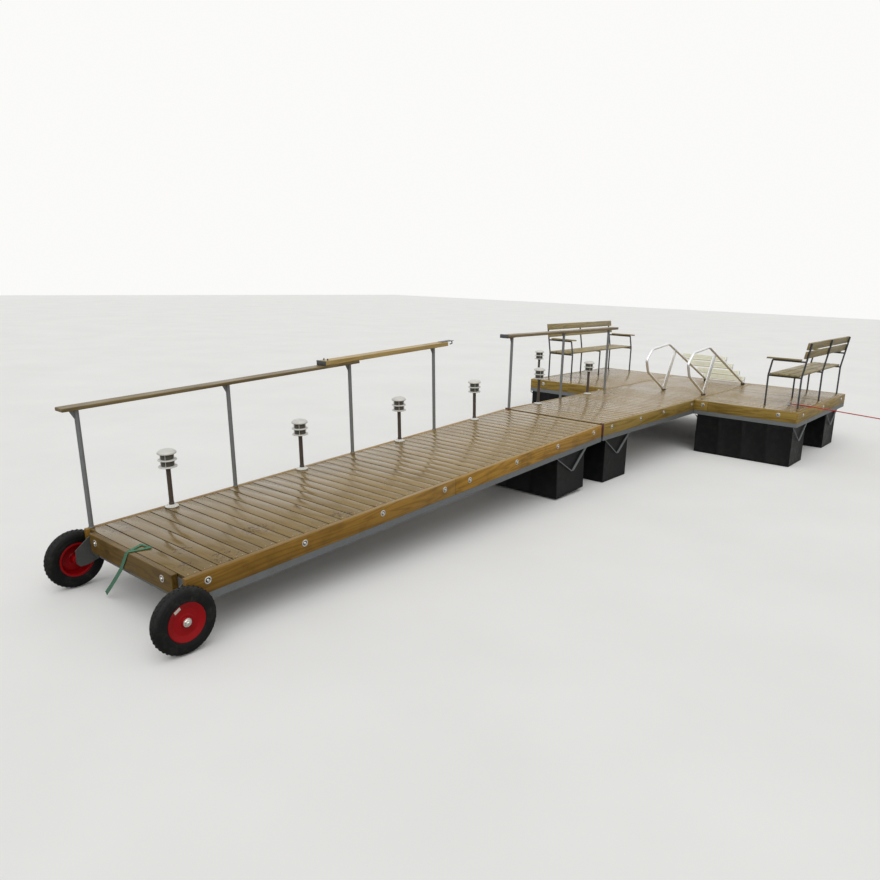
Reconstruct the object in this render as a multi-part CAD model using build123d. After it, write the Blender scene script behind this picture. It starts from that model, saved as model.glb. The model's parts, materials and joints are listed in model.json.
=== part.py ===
from build123d import *
import math
import os

os.makedirs("parts", exist_ok=True)

# Driving sizes in millimetres, +Z up, X runs along the jetty away from the shore.
# The pieces are drawn with the hinge between gangway and platform on the line X = 0,
# and are saved with the origin under the middle of the whole jetty.
BOARD_PITCH = 125.0
GANGWAY_BOARDS = 44
WALKWAY_BOARDS = 22
HEAD_BOARDS = 21
JETTY_WIDTH = 1440.0
ARM_LENGTH = 1440.0
HINGE_GAP = 50.0
SLOPE = 3.0
DECK_THICK = 28.0
PLANK_THICK = 45.0
PLANK_HEIGHT = 148.0
PLANK_CLEARANCE = 2.0
RAIL_TUBE_HEIGHT = 57.0
RAIL_TUBE_WIDTH = 58.0
FRAME_INSET = 2.0
JOIST_WIDTH = 50.0
JOIST_SPACING = 620.0
BAR_END_INSET = 1.0
CUT_MARGIN = 1.0
FLOAT_HEIGHT = 560.0
FLOAT_WIDTH = 600.0
FLOAT_END_INSET = 35.0
FLOAT_ROUND = 45.0
GANGWAY_FLOAT_HEIGHT = 497.0
GANGWAY_FLOAT_SETBACK = 620.0
WALKWAY_FLOAT_SETBACK = 436.0
ARM_FLOAT_GAP = 20.0
ARM_FLOAT_FRONT = 305.0
ARM_FLOAT_BACK = 610.0
BRACE_REACH = 350.0
BRACE_DROP = 230.0
BRACE_THICK = 8.0
BRACE_NARROW = 18.0
BRACE_WIDE = 55.0

HINGE_Y = 560.0
LUG_THICK = 12.0
LUG_RADIUS = 18.0
LUG_SIDE_GAP = 1.0
HINGE_PIN_RADIUS = 8.0
PIN_HEAD_RADIUS = 14.0
PIN_HEAD_THICK = 5.0
PIN_ROOT = 1.0
RUNNING_CLEARANCE = 0.05
BUFFER_THICK = 24.0
BUFFER_RISE = 10.0

WHEEL_RADIUS = 230.0
TYRE_HALF_WIDTH = 47.5
TYRE_BEAD_HALF = 40.0
TYRE_BEAD_GAP = 1.0
SIDEWALL_LOW = 18.0
SIDEWALL_HIGH = 38.0
SIDEWALL_DISH = 2.0
SHOULDER_DEPTH = 28.0
SHOULDER_ROUND = 10.0
TREAD_HALF = 23.5
RIM_RADIUS = 128.0
RIM_FIT_GAP = 0.3
RIM_WALL = 6.0
RIM_FLANGE = 7.0
RIM_FLANGE_THICK = 3.0
RIM_DISC_THICK = 5.0
HUB_RADIUS = 30.0
HUB_HALF = 42.0
AXLE_RADIUS = 10.0
AXLE_NUT_RADIUS = 19.0
AXLE_NUT_THICK = 12.0
AXLE_COLLAR_RADIUS = 17.0
STUB_ROOT = 2.0
HUB_SIDE_GAP = 1.0
AXLE_OVERHANG = 94.0
WHEEL_OFFSET = 55.0
WHEEL_PLATE = 8.0
WHEEL_PLATE_BACK = 180.0
WHEEL_PLATE_TOP = 50.0
WHEEL_PLATE_STEP = 17.0
WHEEL_PLATE_NOSE = 40.0
WHEEL_PLATE_CHIN = 15.0
WHEEL_PLATE_RISE = 105.0
WHEEL_PLATE_FALL = 30.0
WHEEL_PLATE_HEEL = 45.0
WHEEL_FLANGE_IN = 100.0
WHEEL_FLANGE_OUT = 50.0
END_BOARD_INSET = 138.0
SHORE_PLANK_REACH = 22.0

POST_RADIUS = 18.0
POST_HEIGHT = 935.0
POST_HEAD_BACK = 58.0
POST_HEAD_FRONT = 32.0
POST_HEAD_WIDTH = 60.0
POST_HEAD_THICK = 6.0
GUSSET_DROP = 70.0
GUSSET_BACK = 54.0
GUSSET_HALF = 3.0
RAIL_WIDTH = 120.0
RAIL_THICK = 28.0
UPPER_RAIL_THICK = 45.0
WALKWAY_RAIL_THICK = 36.0
GANGWAY_POSTS = (28.0, 1340.0, 2778.0, 4078.0)
WALKWAY_POSTS = (28.0, 1309.0, 2634.0)
LOWER_RAIL_START = -98.0
LOWER_RAIL_END = 2869.0
UPPER_RAIL_START = 2402.0
UPPER_RAIL_END = 4275.0
WALKWAY_RAIL_START = -160.0
WALKWAY_RAIL_END = 2840.0

LAMP_EDGE = 65.0
LAMP_BASE_RADIUS = 57.0
LAMP_BASE_THICK = 10.0
LAMP_POST_RADIUS = 19.0
LAMP_HEAD_BOTTOM = 342.0
LAMP_HEAD_HEIGHT = 155.0
LAMP_HEAD_RADIUS = 78.0
LAMP_GLASS_RADIUS = 62.0
LAMP_ROOF_HEIGHT = 24.0
LAMP_LOUVRES = ((0.0, 0.2), (0.5, 0.6), (0.88, 1.0))
GANGWAY_LAMPS = (686.0, 2071.0, 3447.0, 4790.0)
WALKWAY_LAMPS = (659.0, 2018.0)
ARM_LAMP_INSET = 72.0
ARM_LAMP_EDGE = 98.0

BENCH_INSET = 380.0
BENCH_STEP = 1085.0
BENCH_EDGE = 115.0
BENCH_LEG_SPREAD = 445.0
BENCH_MIDDLE_SPREAD = 375.0
BENCH_TUBE = 26.0
BENCH_SEAT_TOP = 470.0
BENCH_BOARD = 26.0
BENCH_OVERHANG = 45.0
BENCH_ARM_TOP = 690.0
BENCH_ARM_THICK = 22.0
BENCH_ARM_FORWARD = 80.0
BENCH_ARM_WIDTH = 60.0
BENCH_ARM_LEAN = 36.0
BENCH_BACK_TOP = 918.0
BENCH_BACK_LEAN = 80.0
BENCH_BACK_BOARD = 100.0
BENCH_BACK_GAP = 24.0

LADDER_LEFT = 30.0
LADDER_RIGHT = -616.0
LADDER_TUBE_RADIUS = 20.0
LADDER_FOOT_X = 3346.0
LADDER_FOOT_HEIGHT = 26.0
LADDER_FOOT_RADIUS = 34.0
LADDER_BEND = 90.0
LADDER_END_X = 5135.0
LADDER_CAP_HEIGHT = 30.0
LADDER_CAP_BACK = 28.0
LADDER_KNEES = ((2722.0, 335.0), (2633.0, 528.0), (2812.0, 678.0), (3400.0, 731.0))
LADDER_FLAT_TOP_X = 3685.0
LADDER_FLAT_WIDTH = 85.0
LADDER_FLAT_THICK = 8.0
LADDER_FLAT_ABOVE = 38.0
TREAD_THICK = 26.0
TREAD_DEPTH = 62.0
TREAD_SADDLE = 24.0
TREAD_SADDLE_WIDTH = 30.0
TREAD_OVERHANG = 32.0
TREAD_PLACES = (0.386, 0.575, 0.777, 0.95)

STRAP_WIDTH = 35.0
STRAP_THICK = 3.0
STRAP_FOLD_Y = 5.0
STRAP_ENDS = ((96.0, 56.0), (109.0, -47.0))
STRAP_BEND = (125.0, -170.0)
STRAP_TAIL = (410.0, -440.0)

CLEAT_X = 3430.0
CLEAT_EDGE = 310.0
CLEAT_BASE = 70.0
CLEAT_BASE_WIDTH = 40.0
CLEAT_BASE_THICK = 5.0
CLEAT_STEM_RADIUS = 9.0
CLEAT_HEIGHT = 34.0
CLEAT_HORN_RADIUS = 8.0
CLEAT_HORN_LENGTH = 130.0
ROPE_RADIUS = 5.0
ROPE_TOUCH_GAP = 0.3
ROPE_START_LIFT = 16.0
ROPE_START_OFFSET = 16.0
ROPE_REACH = 965.0
ROPE_FALL = 46.0
ROPE_KNOT_RADIUS = 13.0
ROPE_EYE_RADIUS = 34.0

# Sizes that follow from the ones above.
HALF = JETTY_WIDTH / 2
INNER = HALF - PLANK_THICK
FRAME_DROP = PLANK_HEIGHT + RAIL_TUBE_HEIGHT
DECK_Z = FLOAT_HEIGHT + FRAME_DROP
PIN_DROP = PLANK_HEIGHT + RAIL_TUBE_HEIGHT / 2
PIN_Z = DECK_Z - PIN_DROP
START = HINGE_GAP / 2
GANGWAY_LENGTH = GANGWAY_BOARDS * BOARD_PITCH
WALKWAY_LENGTH = WALKWAY_BOARDS * BOARD_PITCH
HEAD_START = START + WALKWAY_LENGTH
HEAD_END = HEAD_START + HEAD_BOARDS * BOARD_PITCH
ARM_END = HALF + ARM_LENGTH
SHORE_END = -(START + GANGWAY_LENGTH)
SLOPE_ANGLE = math.radians(SLOPE)
AXLE_X = SHORE_END - AXLE_OVERHANG
AXLE_DROP = (PIN_Z - WHEEL_RADIUS + AXLE_X * math.sin(SLOPE_ANGLE)) / math.cos(SLOPE_ANGLE)
AXLE_WORLD_X = AXLE_X * math.cos(SLOPE_ANGLE) + AXLE_DROP * math.sin(SLOPE_ANGLE)
MIDDLE_X = (AXLE_WORLD_X - WHEEL_RADIUS + HEAD_END) / 2
PLANK_MIDDLE = HALF - PLANK_THICK / 2
WHEEL_Y = HALF + WHEEL_OFFSET


def block(x0, x1, y0, y1, z0, z1):
    """Box given by its six limits."""
    box = Box(abs(x1 - x0), abs(y1 - y0), abs(z1 - z0))
    return Pos((x0 + x1) / 2, (y0 + y1) / 2, (z0 + z1) / 2) * box


def both_sides(shape):
    """The shape and its mirror image across the middle of the jetty."""
    return [shape, mirror(shape, Plane.XZ)]


def to_right(shapes):
    """Mirror images of shapes across the middle of the jetty."""
    return [mirror(shape, Plane.XZ) for shape in shapes]


def joined(shapes):
    """One solid fused from overlapping or face-to-face shapes."""
    whole = shapes[0]
    for shape in shapes[1:]:
        whole = whole + shape
    return whole.clean()


def save(name, shapes):
    """Write the solids of one named piece, moved to the common origin."""
    solids = []
    for shape in shapes:
        solids.extend((Pos(-MIDDLE_X, 0, 0) * shape).solids())
    part = solids[0] if len(solids) == 1 else Compound(children=solids)
    export_step(part, os.path.join("parts", name + ".step"))


def on_gangway(shapes):
    """Tilt pieces drawn level about the hinge line down towards the shore."""
    tilt = Pos(0, 0, PIN_Z) * Rot(0, -SLOPE, 0) * Pos(0, 0, -PIN_Z)
    return [tilt * shape for shape in shapes]


def rod_y(x, z, y0, y1, radius):
    """Round bar along Y."""
    bar = Rot(90, 0, 0) * Cylinder(radius, abs(y1 - y0))
    return Pos(x, (y0 + y1) / 2, z) * bar


def rod_z(x, y, z0, z1, radius):
    """Upright round bar."""
    return Pos(x, y, (z0 + z1) / 2) * Cylinder(radius, z1 - z0)


def plate_xz(points, y0, y1):
    """Flat plate in the XZ plane between two Y values."""
    face = make_face(Polyline(*[(x, 0, z) for x, z in points], close=True))
    low = min(y0, y1)
    return Pos(0, low, 0) * extrude(face, amount=abs(y1 - y0), dir=(0, 1, 0))


def ring_frame(x0, x1, y0, y1, z0, z1, width):
    """Rectangular ring of square-section bars."""
    outer = block(x0, x1, y0, y1, z0, z1)
    return outer - block(x0 + width, x1 - width, y0 + width, y1 - width,
                         z0 - CUT_MARGIN, z1 + CUT_MARGIN)


def steel_frame(x0, x1, y0, y1, y_in0, y_in1, joist_x0, joist_x1):
    """Lower tube ring with a ring of joists and cross joists on top of it."""
    z0 = DECK_Z - FRAME_DROP
    z1 = DECK_Z - PLANK_HEIGHT
    z2 = DECK_Z - DECK_THICK
    shapes = [ring_frame(x0, x1, y0, y1, z0, z1, RAIL_TUBE_WIDTH)]
    shapes.append(ring_frame(joist_x0, joist_x1, y_in0, y_in1, z1, z2, JOIST_WIDTH))
    span = joist_x1 - joist_x0
    count = max(1, round(span / JOIST_SPACING) - 1)
    for index in range(count):
        middle = joist_x0 + span * (index + 1) / (count + 1)
        half = JOIST_WIDTH / 2
        shapes.append(block(middle - half, middle + half, y_in0 + BAR_END_INSET, y_in1 - BAR_END_INSET, z1, z2))
        shapes.append(block(middle - half, middle + half, y0 + BAR_END_INSET, y1 - BAR_END_INSET, z0, z1))
    return joined(shapes)


def float_tank(x_middle, y0, y1, height):
    """Rounded buoyancy tank under the frame."""
    top = DECK_Z - FRAME_DROP
    half = FLOAT_WIDTH / 2
    tank = block(x_middle - half, x_middle + half, y0, y1, top - height, top)
    return fillet(tank.edges().filter_by(Axis.Z), FLOAT_ROUND)


def brace(x_middle, y0, y1):
    """V shaped bracket from the frame down to the end of a float."""
    top = DECK_Z - FRAME_DROP
    tip = top - BRACE_DROP
    left = x_middle - BRACE_REACH
    right = x_middle + BRACE_REACH
    narrow = [(left, top), (left + BRACE_NARROW, top), (x_middle + BRACE_NARROW, tip), (x_middle, tip)]
    wide = [(right - BRACE_WIDE, top), (right, top), (x_middle + BRACE_WIDE, tip), (x_middle, tip)]
    return joined([plate_xz(narrow, y0, y1), plate_xz(wide, y0, y1)])


def hinge_lug(x_root, y_middle, thick):
    """Drilled lug that reaches from a frame end to the hinge line."""
    y0 = y_middle - thick / 2
    y1 = y_middle + thick / 2
    arm = block(x_root, 0, y0, y1, PIN_Z - LUG_RADIUS, PIN_Z + LUG_RADIUS)
    eye = rod_y(0, PIN_Z, y0, y1, LUG_RADIUS)
    hole = rod_y(0, PIN_Z, y0 - CUT_MARGIN, y1 + CUT_MARGIN, HINGE_PIN_RADIUS + RUNNING_CLEARANCE)
    return joined([arm, eye]) - hole


def rail_post(x, y, height):
    """Handrail post with a head plate and a small gusset."""
    top = DECK_Z + height
    plate_low = top - POST_HEAD_THICK
    post = rod_z(x, y, DECK_Z, plate_low, POST_RADIUS)
    head = block(
        x - POST_HEAD_BACK, x + POST_HEAD_FRONT,
        y - POST_HEAD_WIDTH / 2, y + POST_HEAD_WIDTH / 2, plate_low, top)
    low = plate_low - GUSSET_DROP
    gusset = [(x - GUSSET_BACK, plate_low), (x, plate_low), (x, low), (x - POST_RADIUS, low)]
    return joined([post, head, plate_xz(gusset, y - GUSSET_HALF, y + GUSSET_HALF)])


def flat_rail(x0, x1, low, thick):
    """Handrail board laid flat on the post heads."""
    y0 = PLANK_MIDDLE - RAIL_WIDTH / 2
    return block(x0, x1, y0, y0 + RAIL_WIDTH, DECK_Z + low, DECK_Z + low + thick)


def lamp_post(x, y):
    """Slim post of a bollard light."""
    return rod_z(x, y, DECK_Z + LAMP_BASE_THICK, DECK_Z + LAMP_HEAD_BOTTOM, LAMP_POST_RADIUS)


def lamp_whites(x, y):
    """Round base and louvred head of a bollard light."""
    base = rod_z(x, y, DECK_Z, DECK_Z + LAMP_BASE_THICK, LAMP_BASE_RADIUS)
    low = DECK_Z + LAMP_HEAD_BOTTOM
    roof = low + LAMP_HEAD_HEIGHT - LAMP_ROOF_HEIGHT
    parts = [rod_z(x, y, low, roof, LAMP_GLASS_RADIUS)]
    for share0, share1 in LAMP_LOUVRES:
        start = low + share0 * (roof - low)
        parts.append(rod_z(x, y, start, low + share1 * (roof - low), LAMP_HEAD_RADIUS))
    middle = roof + LAMP_ROOF_HEIGHT / 2
    parts.append(Pos(x, y, middle) * Cone(LAMP_HEAD_RADIUS, LAMP_GLASS_RADIUS, LAMP_ROOF_HEIGHT))
    return [base, joined(parts)]


def lean_bar(x, y0, z0, y1, z1, thick, width):
    """Bar of rectangular section whose middle line goes from one (y, z) point to another."""
    length = math.hypot(y1 - y0, z1 - z0)
    angle = math.degrees(math.atan2(y0 - y1, z1 - z0))
    bar = Box(width, thick, length)
    return Pos(x, (y0 + y1) / 2, (z0 + z1) / 2) * Rot(angle, 0, 0) * bar


def bench_frame(x, back, spread, with_arm):
    """Steel frame of a bench on the +Y side, with bent legs and a seat rail."""
    front = back - spread
    half = BENCH_TUBE / 2
    seat_low = DECK_Z + BENCH_SEAT_TOP - BENCH_BOARD
    arm_low = DECK_Z + BENCH_ARM_TOP - BENCH_ARM_THICK
    bend = seat_low - half
    parts = [lean_bar(x, front, DECK_Z, front, bend + half, BENCH_TUBE, BENCH_TUBE)]
    parts.append(lean_bar(x, back, DECK_Z, back, bend + half, BENCH_TUBE, BENCH_TUBE))
    parts.append(block(x - half, x + half, front, back, seat_low - BENCH_TUBE, seat_low))
    top = DECK_Z + BENCH_BACK_TOP
    parts.append(lean_bar(x, back, bend, back + BENCH_BACK_LEAN, top, BENCH_TUBE, BENCH_TUBE))
    if with_arm:
        lean = front + BENCH_ARM_LEAN
        arm = lean_bar(x, front, bend, lean, arm_low + half, BENCH_TUBE, BENCH_TUBE)
        parts.append(arm - block(x - half, x + half, front, back, arm_low, arm_low + BENCH_TUBE))
        share = (arm_low - half - bend) / (top - bend)
        rear = back + BENCH_BACK_LEAN * share
        parts.append(block(x - half, x + half, lean, rear, arm_low - BENCH_TUBE, arm_low))
    return joined(parts)


def bench_seat(back):
    """Seat boards that lie on the seat rails between the legs."""
    y0 = back - BENCH_LEG_SPREAD + BENCH_TUBE / 2 + BENCH_ARM_LEAN / 2
    y1 = back - BENCH_TUBE
    low = DECK_Z + BENCH_SEAT_TOP - BENCH_BOARD
    return block(bench_x0, bench_x1, y0, y1, low, low + BENCH_BOARD)


def bench_back(back):
    """Two backrest boards on the inner face of the leaning uprights."""
    bend = DECK_Z + BENCH_SEAT_TOP - BENCH_BOARD - BENCH_TUBE / 2
    rise = DECK_Z + BENCH_BACK_TOP - bend
    length = math.hypot(rise, BENCH_BACK_LEAN)
    along_y = BENCH_BACK_LEAN / length
    along_z = rise / length
    boards = []
    for index in range(2):
        far = length - index * (BENCH_BACK_BOARD + BENCH_BACK_GAP) - BENCH_BACK_BOARD / 2
        offset = (BENCH_TUBE + BENCH_BOARD) / 2
        y = back + far * along_y - offset * along_z
        z = bend + far * along_z + offset * along_y
        half_y = along_y * BENCH_BACK_BOARD / 2
        half_z = along_z * BENCH_BACK_BOARD / 2
        middle = (bench_x0 + bench_x1) / 2
        long = bench_x1 - bench_x0
        boards.append(lean_bar(middle, y - half_y, z - half_z, y + half_y, z + half_z, BENCH_BOARD, long))
    return boards


def bench_armrests(back):
    """Wooden armrests on the two outer frames."""
    rests = []
    low = DECK_Z + BENCH_ARM_TOP - BENCH_ARM_THICK
    y0 = back - BENCH_LEG_SPREAD + BENCH_ARM_LEAN - BENCH_ARM_FORWARD
    half = BENCH_ARM_WIDTH / 2
    for x in (bench_places[0], bench_places[-1]):
        rests.append(block(x - half, x + half, y0, back - BENCH_BOARD, low, low + BENCH_ARM_THICK))
    return rests


def tube_path(points, y, bend):
    """Path of the ladder tube through its knees."""
    return FilletPolyline(*[(START + x, y, DECK_Z + z) for x, z in points], radius=bend)


def ladder_side(y):
    """One side of the ladder: bent tube, flat bar and tread saddles."""
    foot = (LADDER_FOOT_X, LADDER_FOOT_HEIGHT / 2)
    end = (LADDER_END_X, LADDER_CAP_HEIGHT / 2)
    points = [foot] + list(LADDER_KNEES) + [end]
    path = tube_path(points, y, LADDER_BEND)
    start_plane = Plane(origin=path @ 0, z_dir=path % 0)
    tube = sweep(start_plane * Circle(LADDER_TUBE_RADIUS), path=path)
    middle_x = START + (LADDER_FOOT_X + LADDER_END_X) / 2
    reach = LADDER_END_X - LADDER_FOOT_X
    y0 = y - LADDER_FOOT_RADIUS
    y1 = y + LADDER_FOOT_RADIUS
    low = DECK_Z - LADDER_FOOT_RADIUS
    foot_cut = block(middle_x - reach, middle_x, y0, y1, low, DECK_Z + LADDER_FOOT_HEIGHT)
    end_cut = block(middle_x, middle_x + reach, y0, y1, low, DECK_Z + LADDER_CAP_HEIGHT)
    shapes = [tube - foot_cut - end_cut]
    half = LADDER_FLAT_WIDTH / 2
    top_z = stringer_height(LADDER_FLAT_TOP_X) + LADDER_FLAT_ABOVE
    low_z = LADDER_FOOT_HEIGHT
    bar = [
        (START + LADDER_FOOT_X - half, DECK_Z + low_z), (START + LADDER_FOOT_X + half, DECK_Z + low_z),
        (START + LADDER_FLAT_TOP_X + half, DECK_Z + top_z), (START + LADDER_FLAT_TOP_X - half, DECK_Z + top_z)]
    shapes.append(plate_xz(bar, y - LADDER_FLAT_THICK / 2, y + LADDER_FLAT_THICK / 2))
    for place in TREAD_PLACES:
        saddle = Pos(0, 0, TREAD_SADDLE / 2) * Box(TREAD_THICK, TREAD_SADDLE_WIDTH, TREAD_SADDLE)
        shapes.append(tread_place(place, y) * saddle)
    return joined(shapes)


def stringer_height(x):
    """Height of the sloping part of the ladder above the deck."""
    x0, z0 = LADDER_KNEES[-1]
    x1, z1 = LADDER_END_X, LADDER_CAP_HEIGHT / 2
    return z0 + (x - x0) * (z1 - z0) / (x1 - x0)


def tread_place(place, y):
    """Position on the sloping part, turned square to it."""
    x0, z0 = LADDER_KNEES[-1]
    x = x0 + place * (LADDER_END_X - x0)
    fall = math.degrees(math.atan2(z0 - LADDER_CAP_HEIGHT / 2, LADDER_END_X - x0))
    return Pos(START + x, y, DECK_Z + stringer_height(x)) * Rot(0, fall, 0)


def ladder_treads():
    """Flat treads that stand on both sides of the ladder."""
    y0 = LADDER_RIGHT - TREAD_OVERHANG
    y1 = LADDER_LEFT + TREAD_OVERHANG
    treads = []
    for place in TREAD_PLACES:
        board = Pos(0, 0, TREAD_SADDLE + TREAD_DEPTH / 2) * Box(TREAD_THICK, y1 - y0, TREAD_DEPTH)
        treads.append(tread_place(place, (y0 + y1) / 2) * board)
    return treads


def wheel_profile(points, x, y, z):
    """Body of revolution about a wheel axle, from (radius, offset) points."""
    face = make_face(Polyline(*[(r, w, 0) for r, w in points], close=True))
    return Pos(x, y, z) * revolve(face, Axis.Y)


def tyre_shape(x, y, z):
    """Pneumatic tyre with a flat bead that sits between the rim flanges."""
    bead = TYRE_BEAD_HALF
    wide = TYRE_HALF_WIDTH
    r = WHEEL_RADIUS
    half = [
        (RIM_RADIUS, bead), (RIM_RADIUS + RIM_FLANGE + TYRE_BEAD_GAP, bead),
        (RIM_RADIUS + SIDEWALL_LOW, wide - SIDEWALL_DISH), (RIM_RADIUS + SIDEWALL_HIGH, wide),
        (r - SHOULDER_DEPTH, wide), (r - SHOULDER_ROUND, wide - SHOULDER_ROUND), (r, TREAD_HALF)]
    points = half + [(a, -b) for a, b in reversed(half)]
    return wheel_profile(points, x, y, z)


def rim_shape(x, y, z):
    """Dished steel rim with its hub bored for the axle."""
    seat = RIM_RADIUS - RIM_FIT_GAP
    inside = seat - RIM_WALL
    bore = AXLE_RADIUS + RUNNING_CLEARANCE
    bead = TYRE_BEAD_HALF
    outer = bead + RIM_FLANGE_THICK
    flange = RIM_RADIUS + RIM_FLANGE
    shell = [
        (seat, -bead), (flange, -bead), (flange, -outer), (inside, -outer),
        (inside, outer), (flange, outer), (flange, bead), (seat, bead)]
    barrel = wheel_profile(shell, x, y, z)
    half = RIM_DISC_THICK / 2
    edge = inside + RIM_WALL / 2
    web = wheel_profile([(bore, -half), (edge, -half), (edge, half), (bore, half)], x, y, z)
    sleeve = [(bore, -HUB_HALF), (HUB_RADIUS, -HUB_HALF), (HUB_RADIUS, HUB_HALF), (bore, HUB_HALF)]
    hub = wheel_profile(sleeve, x, y, z)
    return joined([barrel, web, hub])


def wheel_bracket(side):
    """Steel plate on the frame end with the axle stub and its nut."""
    axle_z = PIN_Z - AXLE_DROP
    top = DECK_Z - PLANK_HEIGHT
    low = top - RAIL_TUBE_HEIGHT
    face = HALF - FRAME_INSET - RAIL_TUBE_WIDTH
    back = SHORE_END + WHEEL_PLATE_BACK
    front = AXLE_X - WHEEL_PLATE_NOSE
    points = [
        (SHORE_END, DECK_Z - WHEEL_PLATE_TOP), (SHORE_END - WHEEL_PLATE_STEP, DECK_Z - WHEEL_PLATE_TOP),
        (front, axle_z + WHEEL_PLATE_RISE), (front, axle_z),
        (AXLE_X - WHEEL_PLATE_CHIN, axle_z - WHEEL_PLATE_FALL),
        (AXLE_X + WHEEL_PLATE_HEEL, axle_z - WHEEL_PLATE_FALL), (back, low), (SHORE_END, low)]
    plate = plate_xz(points, side * (face - WHEEL_PLATE), side * face)
    flange_in = side * (face - WHEEL_FLANGE_IN)
    flange_out = side * (face + WHEEL_FLANGE_OUT)
    flange = block(SHORE_END - WHEEL_PLATE, SHORE_END, flange_in, flange_out, low, top)
    hub_reach = HUB_HALF + HUB_SIDE_GAP
    stub_end = WHEEL_Y + hub_reach
    stub = rod_y(AXLE_X, axle_z, side * (face - STUB_ROOT), side * stub_end, AXLE_RADIUS)
    collar = rod_y(AXLE_X, axle_z, side * face, side * (WHEEL_Y - hub_reach), AXLE_COLLAR_RADIUS)
    nut = rod_y(AXLE_X, axle_z, side * stub_end, side * (stub_end + AXLE_NUT_THICK), AXLE_NUT_RADIUS)
    return joined([plate, flange, stub, collar, nut])


def strap_on_deck(fold_x, end_x, end_y):
    """Flat end of the strap that lies on the deck behind its fold over the end board."""
    long = math.hypot(end_x - fold_x, end_y - STRAP_FOLD_Y)
    turn = math.degrees(math.atan2(end_y - STRAP_FOLD_Y, end_x - fold_x))
    band = Box(long, STRAP_WIDTH, STRAP_THICK)
    middle = Pos((fold_x + end_x) / 2, (STRAP_FOLD_Y + end_y) / 2, DECK_Z + STRAP_THICK / 2)
    return middle * Rot(0, 0, turn) * band


# Platform: walkway, head and the two arms
save("walkway_deck", [block(START, HEAD_END - PLANK_THICK, -INNER, INNER, DECK_Z - DECK_THICK, DECK_Z)])

plank_low = DECK_Z - PLANK_HEIGHT
walkway_planks = both_sides(block(START, HEAD_END, INNER, HALF, plank_low, DECK_Z))
back_plank_half = INNER - PLANK_CLEARANCE
back_plank = block(HEAD_END - PLANK_THICK, HEAD_END, -back_plank_half, back_plank_half, plank_low, DECK_Z)
walkway_planks.append(back_plank)
save("walkway_edge_planks", walkway_planks)

tube_half = HALF - FRAME_INSET
platform_frame = steel_frame(
    START, HEAD_END - FRAME_INSET, -tube_half, tube_half, -INNER, INNER, START, HEAD_END - PLANK_THICK)
platform_lugs = []
for side in (-1, 1):
    for step in (-1, 1):
        offset = HINGE_Y + step * (LUG_THICK + LUG_SIDE_GAP)
        platform_lugs.append(hinge_lug(START, side * offset, LUG_THICK))
save("walkway_frame", [joined([platform_frame] + platform_lugs)])

float_half = HALF - FLOAT_END_INSET
walkway_float_x = START + WALKWAY_FLOAT_SETBACK
save("walkway_float", [float_tank(walkway_float_x, -float_half, float_half, FLOAT_HEIGHT)])
save("walkway_float_braces", both_sides(brace(walkway_float_x, float_half, float_half + BRACE_THICK)))

arm_front = HEAD_START
deck_low = DECK_Z - DECK_THICK
arm_deck = block(arm_front + PLANK_THICK, HEAD_END - PLANK_THICK, HALF, ARM_END - PLANK_THICK, deck_low, DECK_Z)
save("arm_decks", both_sides(arm_deck))

arm_planks = []
for plank in (
        block(arm_front, arm_front + PLANK_THICK, HALF, ARM_END, plank_low, DECK_Z),
        block(HEAD_END - PLANK_THICK, HEAD_END, HALF, ARM_END, plank_low, DECK_Z),
        block(arm_front + PLANK_THICK + PLANK_CLEARANCE, HEAD_END - PLANK_THICK - PLANK_CLEARANCE,
              ARM_END - PLANK_THICK, ARM_END, plank_low, DECK_Z)):
    arm_planks.extend(both_sides(plank))
save("arm_edge_planks", arm_planks)

arm_frame = steel_frame(
    arm_front + FRAME_INSET, HEAD_END - FRAME_INSET, HALF + FRAME_INSET, ARM_END - FRAME_INSET,
    HALF, ARM_END - PLANK_THICK, arm_front + PLANK_THICK, HEAD_END - PLANK_THICK)
save("arm_frames", both_sides(arm_frame))

arm_float_0 = HALF + FLOAT_END_INSET + ARM_FLOAT_GAP
arm_float_1 = ARM_END - FLOAT_END_INSET
arm_float_places = (arm_front + ARM_FLOAT_FRONT, HEAD_END - ARM_FLOAT_BACK)
arm_floats = [float_tank(x, arm_float_0, arm_float_1, FLOAT_HEIGHT) for x in arm_float_places]
save("arm_floats", arm_floats + [mirror(tank, Plane.XZ) for tank in arm_floats])
arm_braces = []
for x in arm_float_places:
    arm_braces.extend(both_sides(brace(x, arm_float_0 - BRACE_THICK, arm_float_0)))
    arm_braces.extend(both_sides(brace(x, arm_float_1, arm_float_1 + BRACE_THICK)))
save("arm_float_braces", arm_braces)

hinge_pins = []
pin_reach = LUG_THICK * 1.5 + LUG_SIDE_GAP
for side in (-1, 1):
    middle = side * HINGE_Y
    bar = rod_y(0, PIN_Z, middle - pin_reach - PIN_ROOT, middle + pin_reach + PIN_ROOT, HINGE_PIN_RADIUS)
    heads = [
        rod_y(0, PIN_Z, middle - pin_reach - PIN_HEAD_THICK, middle - pin_reach, PIN_HEAD_RADIUS),
        rod_y(0, PIN_Z, middle + pin_reach, middle + pin_reach + PIN_HEAD_THICK, PIN_HEAD_RADIUS)]
    hinge_pins.append(joined([bar] + heads))
save("hinge_pins", hinge_pins)
buffer_block = block(START - BUFFER_THICK, START, INNER, HALF, plank_low, DECK_Z + BUFFER_RISE)
save("hinge_buffers", both_sides(buffer_block))

# Handrail of the walkway
save("walkway_rail_posts", [rail_post(START + x, PLANK_MIDDLE, POST_HEIGHT) for x in WALKWAY_POSTS])
walkway_rail = flat_rail(START + WALKWAY_RAIL_START, START + WALKWAY_RAIL_END, POST_HEIGHT, WALKWAY_RAIL_THICK)
save("walkway_rail_board", [walkway_rail])

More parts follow.
